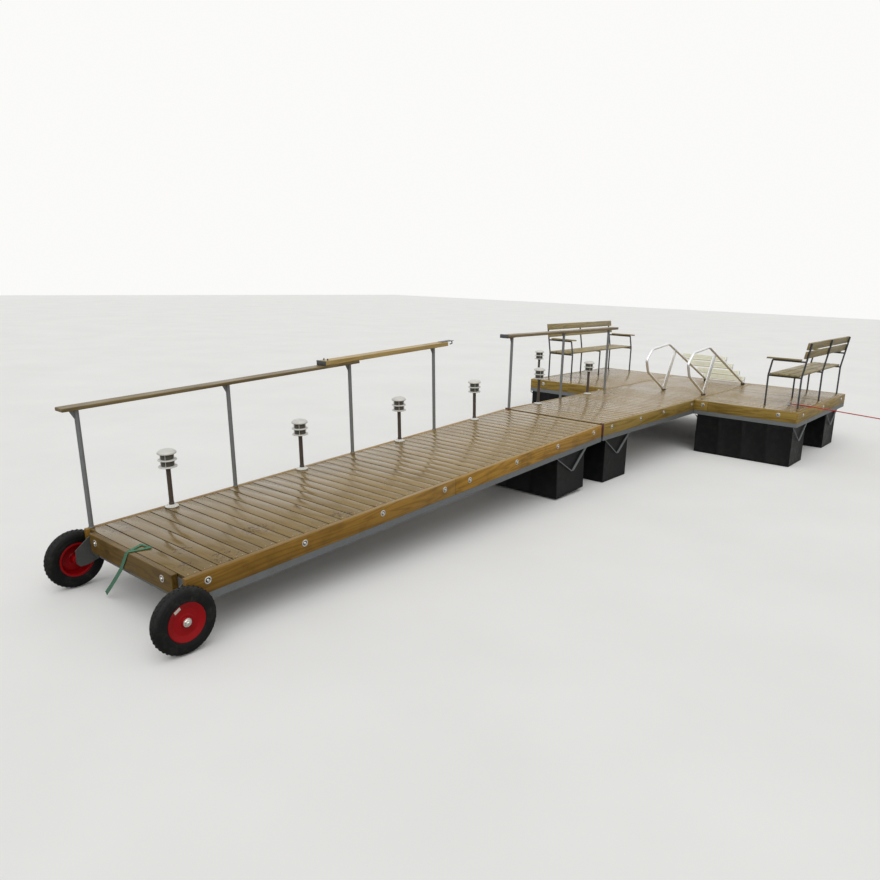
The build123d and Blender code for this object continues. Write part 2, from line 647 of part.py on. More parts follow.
# Bollard lights of the platform
lamp_y = HALF - LAMP_EDGE
platform_lamps = [(START + x, lamp_y) for x in WALKWAY_LAMPS]
platform_lamps.append((HEAD_START + ARM_LAMP_INSET, ARM_END - ARM_LAMP_EDGE))
save("platform_lamp_posts", [lamp_post(x, y) for x, y in platform_lamps])
platform_whites = []
for x, y in platform_lamps:
    platform_whites.extend(lamp_whites(x, y))
save("platform_lamp_heads", platform_whites)

# Benches on the arms
bench_places = [HEAD_START + BENCH_INSET + index * BENCH_STEP for index in range(3)]
bench_x0 = bench_places[0] - BENCH_OVERHANG
bench_x1 = bench_places[-1] + BENCH_OVERHANG
bench_line = ARM_END - BENCH_EDGE
bench_frames = [bench_frame(x, bench_line, BENCH_LEG_SPREAD, True) for x in (bench_places[0], bench_places[-1])]
bench_frames.append(bench_frame(bench_places[1], bench_line, BENCH_MIDDLE_SPREAD, False))
save("left_bench_frames", bench_frames)
save("right_bench_frames", to_right(bench_frames))
save("bench_seats", both_sides(bench_seat(bench_line)))
save("bench_backrests", bench_back(bench_line) + to_right(bench_back(bench_line)))
save("bench_armrests", bench_armrests(bench_line) + to_right(bench_armrests(bench_line)))

# Mooring rope from a cleat on the right arm, with an eye knotted in its end
cleat_x = START + CLEAT_X
cleat_y = CLEAT_EDGE - ARM_END
cleat_base = Box(CLEAT_BASE, CLEAT_BASE_WIDTH, CLEAT_BASE_THICK)
cleat_base = Pos(cleat_x, cleat_y, DECK_Z + CLEAT_BASE_THICK / 2) * cleat_base
cleat_stem = rod_z(cleat_x, cleat_y, DECK_Z, DECK_Z + CLEAT_HEIGHT, CLEAT_STEM_RADIUS)
cleat_horn = Rot(0, 90, 0) * Cylinder(CLEAT_HORN_RADIUS, CLEAT_HORN_LENGTH)
cleat_horn = Pos(cleat_x, cleat_y, DECK_Z + CLEAT_HEIGHT) * cleat_horn
save("mooring_cleat", [joined([cleat_base, cleat_stem, cleat_horn])])
rope_start = (cleat_x, cleat_y - ROPE_START_OFFSET, DECK_Z + ROPE_START_LIFT)
rope_edge = (cleat_x, -ARM_END, DECK_Z + ROPE_RADIUS + ROPE_TOUCH_GAP)
rope_end = (cleat_x, -ARM_END - ROPE_REACH, DECK_Z - ROPE_FALL)
rope_path = Polyline(rope_start, rope_edge, rope_end)
rope_face = Plane(origin=rope_start, z_dir=rope_path % 0) * Circle(ROPE_RADIUS)
rope = sweep(rope_face, path=rope_path, transition=Transition.ROUND)
save("mooring_rope", [rope])
knot = Pos(*rope_end) * Sphere(ROPE_KNOT_RADIUS)
eye = Pos(rope_end[0], rope_end[1] - ROPE_EYE_RADIUS, rope_end[2]) * Torus(ROPE_EYE_RADIUS, ROPE_RADIUS)
save("mooring_rope_eye", [joined([knot, eye]) - rope])

# Bathing ladder parked on the head
save("ladder_frame", [ladder_side(LADDER_LEFT), ladder_side(LADDER_RIGHT)])
save("ladder_treads", ladder_treads())
feet = []
for y in (LADDER_LEFT, LADDER_RIGHT):
    feet.append(rod_z(START + LADDER_FOOT_X, y, DECK_Z, DECK_Z + LADDER_FOOT_HEIGHT, LADDER_FOOT_RADIUS))
    cap_x = START + LADDER_END_X - LADDER_CAP_BACK
    feet.append(rod_z(cap_x, y, DECK_Z, DECK_Z + LADDER_CAP_HEIGHT, LADDER_FOOT_RADIUS))
save("ladder_feet", feet)

# Gangway, drawn level and then tilted about the hinge
gangway_end = -START
save("gangway_deck", on_gangway([block(SHORE_END, gangway_end, -INNER, INNER, DECK_Z - DECK_THICK, DECK_Z)]))
gangway_plank = block(SHORE_END - SHORE_PLANK_REACH, gangway_end, INNER, HALF, plank_low, DECK_Z)
save("gangway_edge_planks", on_gangway(both_sides(gangway_plank)))
end_board_half = HALF - END_BOARD_INSET
end_board = block(SHORE_END - PLANK_THICK, SHORE_END, -end_board_half, end_board_half, plank_low, DECK_Z)
save("gangway_end_board", on_gangway([end_board]))
gangway_frame = steel_frame(
    SHORE_END, gangway_end, -tube_half, tube_half, -INNER, INNER, SHORE_END, gangway_end)
gangway_lugs = [hinge_lug(gangway_end, side * HINGE_Y, LUG_THICK) for side in (-1, 1)]
save("gangway_frame", on_gangway([joined([gangway_frame] + gangway_lugs)]))
gangway_float_x = gangway_end - GANGWAY_FLOAT_SETBACK
save("gangway_float", on_gangway([float_tank(gangway_float_x, -float_half, float_half, GANGWAY_FLOAT_HEIGHT)]))
gangway_braces = both_sides(brace(gangway_float_x, float_half, float_half + BRACE_THICK))
save("gangway_float_braces", on_gangway(gangway_braces))
gangway_posts = []
for x in GANGWAY_POSTS:
    tall = POST_HEIGHT + (RAIL_THICK if x > LOWER_RAIL_END else 0)
    gangway_posts.append(rail_post(SHORE_END + x, PLANK_MIDDLE, tall))
save("gangway_rail_posts", on_gangway(gangway_posts))
lower_rail = flat_rail(SHORE_END + LOWER_RAIL_START, SHORE_END + LOWER_RAIL_END, POST_HEIGHT, RAIL_THICK)
save("gangway_rail_board", on_gangway([lower_rail]))
upper_low = POST_HEIGHT + RAIL_THICK
upper_rail = flat_rail(SHORE_END + UPPER_RAIL_START, SHORE_END + UPPER_RAIL_END, upper_low, UPPER_RAIL_THICK)
save("gangway_upper_rail", on_gangway([upper_rail]))
gangway_lamps = [(SHORE_END + x, lamp_y) for x in GANGWAY_LAMPS]
save("gangway_lamp_posts", on_gangway([lamp_post(x, y) for x, y in gangway_lamps]))
gangway_whites = []
for x, y in gangway_lamps:
    gangway_whites.extend(lamp_whites(x, y))
save("gangway_lamp_heads", on_gangway(gangway_whites))
save("wheel_brackets", on_gangway([wheel_bracket(1), wheel_bracket(-1)]))
strap_x = SHORE_END - PLANK_THICK - STRAP_THICK / 2
strap_bend = (STRAP_BEND[0], DECK_Z + STRAP_BEND[1])
strap_tail = (STRAP_TAIL[0], DECK_Z + STRAP_TAIL[1])
strap = [strap_on_deck(strap_x, SHORE_END + x, y) for x, y in STRAP_ENDS]
strap.append(lean_bar(strap_x, STRAP_FOLD_Y, DECK_Z + STRAP_THICK, *strap_bend, STRAP_WIDTH, STRAP_THICK))
strap.append(lean_bar(strap_x, *strap_bend, *strap_tail, STRAP_WIDTH, STRAP_THICK))
save("lifting_strap", on_gangway([joined(strap)]))

# Wheels
axle_z = PIN_Z - AXLE_DROP
for name, side in (("left", 1), ("right", -1)):
    save(name + "_wheel_tyre", on_gangway([tyre_shape(AXLE_X, side * WHEEL_Y, axle_z)]))
    save(name + "_wheel_rim", on_gangway([rim_shape(AXLE_X, side * WHEEL_Y, axle_z)]))
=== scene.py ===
import json
import math
import random

import bpy
from bpy.props import FloatProperty, FloatVectorProperty, IntProperty, PointerProperty
from mathutils import Matrix, Vector


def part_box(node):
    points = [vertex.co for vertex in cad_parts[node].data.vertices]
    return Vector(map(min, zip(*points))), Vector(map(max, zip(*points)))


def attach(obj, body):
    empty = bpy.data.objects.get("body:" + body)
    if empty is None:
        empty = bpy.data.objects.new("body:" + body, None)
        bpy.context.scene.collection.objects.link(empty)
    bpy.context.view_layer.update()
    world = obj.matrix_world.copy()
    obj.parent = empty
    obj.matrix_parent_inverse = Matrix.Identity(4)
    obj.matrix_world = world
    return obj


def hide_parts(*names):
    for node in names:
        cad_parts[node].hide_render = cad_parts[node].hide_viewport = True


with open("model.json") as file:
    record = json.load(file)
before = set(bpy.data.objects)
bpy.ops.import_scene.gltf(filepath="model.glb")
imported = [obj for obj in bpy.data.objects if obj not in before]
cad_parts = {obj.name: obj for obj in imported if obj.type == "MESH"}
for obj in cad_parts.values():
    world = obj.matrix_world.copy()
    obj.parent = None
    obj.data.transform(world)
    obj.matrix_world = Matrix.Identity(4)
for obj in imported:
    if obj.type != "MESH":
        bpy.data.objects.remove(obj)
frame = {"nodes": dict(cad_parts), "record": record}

bl_info = {
    "name": "Bathing Jetty",
    "version": (1, 0, 0),
    "blender": (4, 5, 0),
    "location": "View3D > Sidebar > Jetty",
    "description": "Dresses a floating timber jetty with its boards, bolts, lights, benches and wheels",
    "category": "Object",
}


def corners_of(node_name):
    """Two corners of a solid's box, to a hundredth of a millimetre."""
    return [[round(value, 5) for value in corner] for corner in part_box(node_name)]


# Places of the jetty in metres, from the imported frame.
JOINT_PLACES = {joint["name"]: Vector(joint["pos_m"]) for joint in frame["record"]["behaviour"]["joints"]}
HINGE = JOINT_PLACES["gangway_hinge"]
AXLE = JOINT_PLACES["left_wheel_turn"]
(WALKWAY, _, PLANK_LOW), (LAKE, HALF, DECK) = corners_of("walkway_edge_planks")
(HEAD, _, _), (_, ARM_END, _) = corners_of("arm_edge_planks")
TUBE_LOW = corners_of("arm_frames")[0][2]
# Lengths along the gangway, which is drawn level and then tilted about the hinge.
SLOPE = math.radians(3.0)
GANGWAY_LONG = 5.5
GANGWAY_END = HINGE.x - 0.025
SHORE = GANGWAY_END - GANGWAY_LONG
PLANK = 0.045
INNER = HALF - PLANK
SLIT = 0.0015
# Handrail: line across the jetty, and undersides of the lower and the upper board above the deck.
RAIL_LINE = 0.6975
LOWER_RAIL = 0.935
UPPER_RAIL = 0.963
# Points closer than this are merged, and edges flatter than this angle are shaded round.
MERGE_DISTANCE = 0.00002
ROUND_BELOW = math.radians(35)
# Camera, fitted to the reference: place in metres, turn in degrees, focal length on a 36 mm sensor.
CAMERA_PLACE = (-7.7467, -4.8821, 2.4513)
CAMERA_TURN = (77.5768, -1.5625, -49.5492)
CAMERA_LENS = 30.529
# Leaf litter on the gangway: distance from the shore end, side, reach.
LITTER = ((0.4, -0.59, 0.15), (0.83, -0.34, 0.14), (0.14, 0.5, 0.14), (0.24, -0.26, 0.1), (1.45, -0.6, 0.12),
          (0.1, -0.52, 0.09))


def at(x, y, z=0.0):
    """Matrix that moves to a place."""
    return Matrix.Translation((x, y, z))


def turn(degrees, axis):
    """Matrix that turns about an axis."""
    return Matrix.Rotation(math.radians(degrees), 4, axis)


LEVEL = Matrix.Identity(4)
TILT = at(*HINGE) @ Matrix.Rotation(-SLOPE, 4, "Y") @ at(*-HINGE)
MIRROR = Matrix.Scale(-1, 4, (0, 1, 0))


def length(name, default, description):
    """Length for the sidebar."""
    return FloatProperty(name=name, description=description, default=default, unit="LENGTH")


def colour(name, default, description):
    """Colour for the sidebar."""
    return FloatVectorProperty(name=name, description=description, subtype="COLOR", size=3, default=default)


class JettySizes(bpy.types.PropertyGroup):
    """Sizes of the loose pieces that dress the jetty."""

    board_pitch: length("Board pitch", 0.125, "From one deck board to the next")
    board_gap: length("Board gap", 0.007, "Open gap between deck boards")
    board_thick: length("Board thickness", 0.028, "Thickness of a deck board")
    edge_round: length("Timber round-over", 0.003, "Rounding of timber edges")
    washer_radius: length("Washer radius", 0.027, "Outer radius of the plank washers")
    rail_width: length("Rail width", 0.12, "Width of a handrail board")
    post_radius: length("Post radius", 0.018, "Radius of a handrail post")
    rope_diameter: length("Rope diameter", 0.014, "Diameter of the mooring rope")
    tyre_knobs: IntProperty(name="Tyre knobs", description="Tread blocks per row", default=40, min=12)


class JettyColours(bpy.types.PropertyGroup):
    """Colours of the jetty's finishes."""

    deck_light: colour("Deck, light", (0.282, 0.188, 0.058), "Pale tone of the wet deck boards")
    deck_dark: colour("Deck, dark", (0.172, 0.105, 0.025), "Grain of the deck boards")
    edge_light: colour("Edge planks, light", (0.5, 0.27, 0.04), "Golden tone of the edge planks")
    edge_dark: colour("Edge planks, dark", (0.25, 0.12, 0.014), "Grain of the edge planks")
    platform_light: colour("Platform planks, light", (0.36, 0.24, 0.055), "Olive tone of the platform")
    platform_dark: colour("Platform planks, dark", (0.17, 0.102, 0.018), "Grain of the platform's planks")
    bench_light: colour("Bench boards, light", (0.34, 0.27, 0.118), "Tan tone of the bench boards")
    bench_dark: colour("Bench boards, dark", (0.175, 0.13, 0.055), "Grain of the bench boards")
    zinc: colour("Galvanised steel", (0.19, 0.202, 0.208), "Zinc grey of posts and frames")
    rim_red: colour("Rim", (0.3, 0.0015, 0.004), "Red paint of the wheel rims")
    strap_green: colour("Strap", (0.018, 0.165, 0.075), "Green of the webbing strap")
    rope_red: colour("Rope", (0.62, 0.03, 0.028), "Red of the mooring rope")


def clear_selection():
    """Leave edit mode and deselect everything."""
    if bpy.context.object and bpy.context.object.mode != "OBJECT":
        bpy.ops.object.mode_set(mode="OBJECT")
    bpy.ops.object.select_all(action="DESELECT")


def pick(*pieces):
    """Select only these pieces, the first one active."""
    clear_selection()
    for piece in pieces:
        piece.select_set(True)
    bpy.context.view_layer.objects.active = pieces[0]


def edit_all():
    """Enter edit mode with the whole active piece selected."""
    bpy.ops.object.mode_set(mode="EDIT")
    bpy.ops.mesh.select_all(action="SELECT")


def settle(name, round_over=0.0, segments=1):
    """Name the new primitive, put its place into its mesh and round its edges."""
    piece = bpy.context.object
    piece.name = name
    bpy.ops.object.transform_apply(location=True, rotation=True, scale=True)
    if round_over:
        edit_all()
        bpy.ops.mesh.bevel(offset=round_over, segments=segments, affect="EDGES", clamp_overlap=True)
        bpy.ops.object.mode_set(mode="OBJECT")
    return piece


def facing_out(piece):
    """Turn every face of a closed piece outwards."""
    pick(piece)
    edit_all()
    bpy.ops.mesh.remove_doubles(threshold=MERGE_DISTANCE)
    bpy.ops.mesh.normals_make_consistent(inside=False)
    bpy.ops.object.mode_set(mode="OBJECT")
    return piece


def box_shape(low, high):
    """Cube primitive between two corners."""
    clear_selection()
    middle = [(a + b) / 2 for a, b in zip(low, high)]
    spans = [b - a for a, b in zip(low, high)]
    bpy.ops.mesh.primitive_cube_add(size=1, location=middle, scale=spans)


def timber(name, low, high, round_over, segments=2):
    """Board with rounded edges between two corners."""
    box_shape(low, high)
    return settle(name, round_over, segments)


def rod(name, start, end, radius, sides=24, round_over=0.0, segments=1):
    """Round bar between two points."""
    clear_selection()
    start, end = Vector(start), Vector(end)
    run = end - start
    bpy.ops.mesh.primitive_cylinder_add(vertices=sides, radius=radius, depth=run.length)
    bar = settle(name, round_over, segments)
    return moved(bar, at(*(start + end) / 2) @ run.to_track_quat("Z", "Y").to_matrix().to_4x4())


def upright(name, x, y, low, high, radius, sides=24, round_over=0.0, segments=1):
    """Standing round bar between two heights."""
    return rod(name, (x, y, low), (x, y, high), radius, sides, round_over, segments)


def turned(name, profile, sides=32, closed=False):
    """Turned piece about Z: a circle extruded ring by ring through (radius, height) points."""
    clear_selection()
    radius, height = profile[0]
    fill = "NOTHING" if closed else "NGON"
    bpy.ops.mesh.primitive_circle_add(vertices=sides, radius=radius, fill_type=fill, location=(0, 0, height))
    piece = settle(name)
    edit_all()
    for next_radius, next_height in profile[1:]:
        bpy.ops.mesh.extrude_region_move(TRANSFORM_OT_translate={"value": (0, 0, next_height - height)})
        grow = next_radius / radius
        bpy.ops.transform.resize(value=(grow, grow, 1), center_override=(0, 0, next_height))
        radius, height = next_radius, next_height
    bpy.ops.object.mode_set(mode="OBJECT")
    return facing_out(piece)


def smooth_line(name, points, radius, steps, ring):
    """Round curve on one open NURBS spline with these control points."""
    curve = bpy.data.curves.new(name, "CURVE")
    curve.dimensions = "3D"
    spline = curve.splines.new("NURBS")
    spline.points.add(len(points) - 1)
    for slot, point in zip(spline.points, points):
        slot.co = (*point, 1)
    spline.order_u = 3
    spline.use_endpoint_u = True
    curve.resolution_u = steps
    curve.bevel_depth = radius
    curve.bevel_resolution = ring
    curve.use_fill_caps = True
    line = bpy.data.objects.new(name, curve)
    bpy.context.scene.collection.objects.link(line)
    return line


def bent_tube(name, corners, radius, bend):
    """Steel tube through corners, each rounded over the given distance."""
    corners = [Vector(corner) for corner in corners]
    points = corners[:1]
    for before, corner, after in zip(corners, corners[1:], corners[2:]):
        points.append(corner + (before - corner).normalized() * bend)
        points.append(corner)
        points.append(corner + (after - corner).normalized() * bend)
    pick(smooth_line(name, points + corners[-1:], radius, 6, 3))
    bpy.ops.object.convert(target="MESH")
    return facing_out(bpy.context.object)


def moved(piece, matrix):
    """The piece itself, with its mesh moved by a matrix."""
    piece.data.transform(matrix)
    if matrix.determinant() < 0:
        piece.data.flip_normals()
    return piece


def copies(piece, matrices):
    """Copies with their own meshes, one moved by each matrix."""
    made = []
    for matrix in matrices:
        twin = piece.copy()
        twin.data = piece.data.copy()
        bpy.context.scene.collection.objects.link(twin)
        made.append(moved(twin, matrix))
    return made


def repeat(piece, matrices):
    """Copies at each matrix instead of the piece itself."""
    made = copies(piece, matrices)
    bpy.data.objects.remove(piece)
    return made


def join(name, pieces):
    """One object from many, with smooth rounded parts and crisp edges."""
    pick(*pieces)
    if len(pieces) > 1:
        bpy.ops.object.join()
    whole = bpy.context.object
    whole.name = name
    whole.data.name = name
    bpy.ops.object.shade_smooth_by_angle(angle=ROUND_BELOW)
    return whole


def fit(piece, body, material, nodes=(), matrix=LEVEL):
    """Place a finished piece, give it its finish and let it ride on its body."""
    moved(piece, matrix)
    piece.data.materials.clear()
    piece.data.materials.append(material)
    for face in piece.data.polygons:
        face.material_index = 0
    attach(piece, body)
    if nodes:
        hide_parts(*nodes)
    return piece


def on_platform(piece, slot, material, *nodes):
    """Finished piece of the platform."""
    return fit(piece, "platform", material, nodes)


def on_gangway(piece, slot, material, *nodes):
    """Finished piece of the gangway, tilted about the hinge."""
    return fit(piece, "gangway", material, nodes, TILT)


def dress(node_names, material):
    """Give CAD solids that stay visible their finish."""
    for node_name in node_names:
        node = frame["nodes"][node_name]
        if not node.material_slots:
            node.data.materials.append(material)
        for slot in node.material_slots:
            slot.material = material


def feed(tree, socket, value):
    """Link a socket into another, or set it to a plain value."""
    if isinstance(value, bpy.types.NodeSocket):
        tree.links.new(value, socket)
    else:
        socket.default_value = value


def node_in(tree, kind, inputs=None, **settings):
    """Shader node with its settings, and inputs that are linked or set."""
    made = tree.nodes.new(kind)
    for key, value in settings.items():
        setattr(made, key, value)
    for key, value in (inputs or {}).items():
        feed(tree, made.inputs[key], value)
    return made


def fresh_material(name):
    """Material with only a shader and an output, and the shader's tree."""
    material = bpy.data.materials.new(name)
    material.use_nodes = True
    tree = material.node_tree
    tree.nodes.clear()
    shader = node_in(tree, "ShaderNodeBsdfPrincipled")
    node_in(tree, "ShaderNodeOutputMaterial", {"Surface": shader.outputs["BSDF"]})
    return material, tree, shader


def maths(tree, operation, first, second=0.0):
    """Output of a Math node."""
    return node_in(tree, "ShaderNodeMath", {0: first, 1: second}, operation=operation).outputs[0]


def mix(tree, factor, first, second):
    """Output of a colour Mix node."""
    inputs = {0: factor, 6: first, 7: second}
    return node_in(tree, "ShaderNodeMix", inputs, data_type="RGBA").outputs[2]


def stepped(tree, value, low, high, out_low=0.0, out_high=1.0):
    """Value mapped from one range to another and clamped."""
    inputs = {"Value": value, "From Min": low, "From Max": high, "To Min": out_low, "To Max": out_high}
    return node_in(tree, "ShaderNodeMapRange", inputs).outputs[0]


def noise(tree, vector, scale, detail=4.0, rough=0.55, distortion=0.0):
    """Fac output of a Noise texture."""
    inputs = {"Vector": vector, "Scale": scale, "Detail": detail, "Roughness": rough,
              "Distortion": distortion}
    return node_in(tree, "ShaderNodeTexNoise", inputs).outputs["Fac"]


def cells(tree, vector, scale, output="Distance"):
    """Output of a Voronoi texture."""
    return node_in(tree, "ShaderNodeTexVoronoi", {"Vector": vector, "Scale": scale}).outputs[output]


def vector_maths(tree, operation, first, second, output):
    """Output of a Vector Math node."""
    return node_in(tree, "ShaderNodeVectorMath", {0: first, 1: second}, operation=operation).outputs[output]


def bump(tree, shader, height, strength, distance):
    """Relief of a shader from a height."""
    inputs = {"Height": height, "Strength": strength, "Distance": distance}
    feed(tree, shader.inputs["Normal"], node_in(tree, "ShaderNodeBump", inputs).outputs["Normal"])


def rgba(tone, factor=1.0):
    """Colour of four numbers from three."""
    return (*(part * factor for part in tone), 1.0)


def level_coordinates(tree, tilted=False):
    """Object coordinates, turned level for pieces that lie on the gangway's slope."""
    coordinates = node_in(tree, "ShaderNodeTexCoord").outputs["Object"]
    if not tilted:
        return coordinates
    offset = HINGE - Matrix.Rotation(SLOPE, 3, "Y") @ HINGE
    inputs = {"Vector": coordinates, "Location": offset, "Rotation": (0, SLOPE, 0)}
    return node_in(tree, "ShaderNodeMapping", inputs).outputs["Vector"]


def stretched(tree, vector, grain, share):
    """Coordinates drawn out along the grain."""
    scale = [share if axis == grain else 1.0 for axis in "XYZ"]
    return node_in(tree, "ShaderNodeMapping", {"Vector": vector, "Scale": scale}).outputs["Vector"]


def timber_finish(name, light, dark, grain, tilted=False, first=None, gloss=(0.3, 0.55), dirt=0.25,
                  figure=0.6, weathered=None, film=None, litter=(), shade_and_soak=0.0, seam_shade=0.85, relief=0.001):
    """Wet softwood: grain, knots, a tone for each board, stains, dirt, weathered tops and leaf litter."""
    material, tree, shader = fresh_material(name)
    level = level_coordinates(tree, tilted)
    along, across, up = node_in(tree, "ShaderNodeSeparateXYZ", {"Vector": level}).outputs
    # Each board has a number, which gives it a tone and its own stretch of grain.
    if first is None:
        lanes = maths(tree, "MULTIPLY", across, 1.4)
    else:
        pitch = bpy.context.scene.jetty_sizes.board_pitch
        lanes = maths(tree, "DIVIDE", maths(tree, "SUBTRACT", along, first), pitch)
    lane = maths(tree, "FLOOR", lanes)
    tone = node_in(tree, "ShaderNodeTexWhiteNoise", {"W": lane}, noise_dimensions="1D").outputs["Value"]
    spread = {0: maths(tree, "MULTIPLY", tone, 7), 1: maths(tree, "MULTIPLY", tone, 13), 2: tone}
    drift = node_in(tree, "ShaderNodeCombineXYZ", spread).outputs[0]
    own = vector_maths(tree, "ADD", level, drift, 0)
    # Fibres and growth rings along the grain, then knots.
    fine = stretched(tree, own, grain, 0.06)
    fibre = noise(tree, fine, 150, 5, 0.7)
    rings = maths(tree, "SINE", maths(tree, "MULTIPLY", noise(tree, fine, 9, 2, 0.5, 0.6), 52))
    ring_share = stepped(tree, rings, -0.2, 1.0)
    streaks = stepped(tree, fibre, 0.35, 0.75, 0.0, 0.45)
    shade = maths(tree, "ADD", maths(tree, "MULTIPLY", ring_share, figure), streaks)
    wood = mix(tree, shade, rgba(light), rgba(dark))
    knots = stepped(tree, cells(tree, stretched(tree, own, grain, 0.45), 2.6), 0.025, 0.06, 0.8, 0.0)
    wood = mix(tree, knots, wood, rgba(dark, 0.4))
    brightness = stepped(tree, tone, 0, 1, 0.9, 1.08)
    wood = node_in(tree, "ShaderNodeHueSaturation", {"Color": wood, "Value": brightness}).outputs["Color"]
    # Stains and small spots of dirt.
    smear = noise(tree, level, 3.1, 7, 0.62)
    wood = mix(tree, stepped(tree, smear, 0.5, 0.74, 0.0, dirt), wood, rgba(dark, 0.42))
    specks = stepped(tree, cells(tree, level, 42.0), 0.12, 0.2, 1.0, 0.0)
    spots = maths(tree, "MULTIPLY", specks, stepped(tree, smear, 0.56, 0.66))
    wood = mix(tree, maths(tree, "MULTIPLY", spots, 2.4 * dirt), wood, (0.035, 0.02, 0.01, 1))
    # Darker strips along both edges of each board: painted shade at the gaps between boards.
    if first is not None:
        off_middle = maths(tree, "ABSOLUTE", maths(tree, "SUBTRACT", maths(tree, "FRACT", lanes), 0.5))
        wood = mix(tree, stepped(tree, off_middle, 0.445, 0.475, 0.0, seam_shade), wood, rgba(dark, 0.22))
    if weathered:
        top = stepped(tree, up, DECK - 0.0045, DECK - 0.0015, 0.0, 0.9)
        wood = mix(tree, top, wood, mix(tree, shade, rgba(weathered), rgba(weathered, 0.7)))
    # Darker towards the shore end: partly painted shade, where the gangway lies in shade, and partly wet
    # dirt.
    if shade_and_soak:
        wood = mix(tree, stepped(tree, along, SHORE, SHORE + 3.4, shade_and_soak, 0.0), wood, rgba(dark, 0.35))
    if litter:
        near = 0.0
        for x, y, reach in litter:
            away = vector_maths(tree, "DISTANCE", level, (x, y, DECK), "Value")
            near = maths(tree, "MAXIMUM", stepped(tree, away, reach * 0.7, reach, 1.0, 0.0), near)
        flakes = maths(tree, "MULTIPLY", stepped(tree, noise(tree, level, 40, 5, 0.75), 0.54, 0.565), near)
        wood = mix(tree, flakes, wood, (0.04, 0.018, 0.007, 1))
    feed(tree, shader.inputs["Base Color"], wood)
    feed(tree, shader.inputs["Roughness"], stepped(tree, noise(tree, level, 1.7, 3, 0.5), 0.35, 0.65, *gloss))
    if film:
        shader.inputs["Specular Tint"].default_value = rgba(film)
        shader.inputs["Specular IOR Level"].default_value = 0.55
    height = maths(tree, "ADD", maths(tree, "MULTIPLY", fibre, 0.6), maths(tree, "MULTIPLY", ring_share, 0.4))
    bump(tree, shader, height, 0.25, relief)
    return material


def metal_finish(name, tone, metallic, gloss, spangle=0.25, grime=0.3):
    """Zinc or bare metal with crystal patches and grime."""
    material, tree, shader = fresh_material(name)
    place = level_coordinates(tree)
    grey = node_in(tree, "ShaderNodeRGBToBW", {"Color": cells(tree, place, 90.0, "Color")}).outputs[0]
    tinted = mix(tree, maths(tree, "MULTIPLY", grey, spangle), rgba(tone, 1.12), rgba(tone, 0.62))
    soil = noise(tree, place, 6, 6, 0.6)
    dirty = mix(tree, stepped(tree, soil, 0.5, 0.8, 0.0, grime), tinted, (0.12, 0.1, 0.07, 1))
    feed(tree, shader.inputs["Base Color"], dirty)
    shader.inputs["Metallic"].default_value = metallic
    feed(tree, shader.inputs["Roughness"], stepped(tree, soil, 0.3, 0.7, *gloss))
    bump(tree, shader, noise(tree, place, 160, 3), 0.12, 0.0008)
    return material


def coated_finish(name, tone, gloss, worn_tone, wear=0.3, grain=120.0, relief=0.0006, shine=0.5):
    """Paint, plastic or rubber with worn patches and a fine surface."""
    material, tree, shader = fresh_material(name)
    place = level_coordinates(tree)
    patch = noise(tree, place, 14, 6, 0.65)
    speck = noise(tree, place, grain, 3, 0.6)
    patches, specks = stepped(tree, patch, 0.5, 0.75), stepped(tree, speck, 0.4, 0.65, 0.3, 1.0)
    share = maths(tree, "MULTIPLY", patches, specks)
    worn = mix(tree, maths(tree, "MULTIPLY", share, wear), rgba(tone), rgba(worn_tone))
    feed(tree, shader.inputs["Base Color"], worn)
    feed(tree, shader.inputs["Roughness"], stepped(tree, patch, 0.3, 0.7, *gloss))
    bump(tree, shader, speck, 0.3, relief)
    shader.inputs["Specular IOR Level"].default_value = shine
    return material


def woven_finish(name, tone, direction, pitch):
    """Webbing or laid rope: fine ribs across the run, with painted shade in the groove between them."""
    material, tree, shader = fresh_material(name)
    place = level_coordinates(tree)
    run = vector_maths(tree, "DOT_PRODUCT", place, direction, "Value")
    rib = maths(tree, "SINE", maths(tree, "MULTIPLY", run, 2 * math.pi / pitch))
    fuzz = noise(tree, place, 420, 4, 0.7)
    # Colour follows the ribs: painted shade in the grooves and painted highlight on the ribs, with the
    # fibres' own fuzz on top.
    share = maths(tree, "ADD", stepped(tree, rib, -1, 1, 0, 0.55), stepped(tree, fuzz, 0.3, 0.7, 0, 0.35))
    feed(tree, shader.inputs["Base Color"], mix(tree, share, rgba(tone, 0.5), rgba(tone, 1.15)))
    bump(tree, shader, share, 0.5, 0.0008)
    shader.inputs["Roughness"].default_value = 0.82
    shader.inputs["Sheen Weight"].default_value = 0.2
    return material


def bolt_with_washer():
    """Hex bolt with a wide round washer, standing on the plane Z = 0."""
    outer = bpy.context.scene.jetty_sizes.washer_radius
    inner = outer * 0.66
    thick = 0.0036
    ring = [(inner, 0.0), (outer, 0.0), (outer, 0.0028), (outer * 0.95, thick), (outer * 0.7, thick),
            (inner, 0.0028), (inner, 0.0)]
    washer = turned("washer", ring, 28, closed=True)
    head = upright("bolt_head", 0, 0, -0.003, 0.009, 0.0105, 6, 0.0012)
    flange = turned("bolt_flange", [(0.0125, -0.002), (0.0125, 0.0), (0.0105, 0.002)], 20)
    return join("bolt", [washer, head, flange])


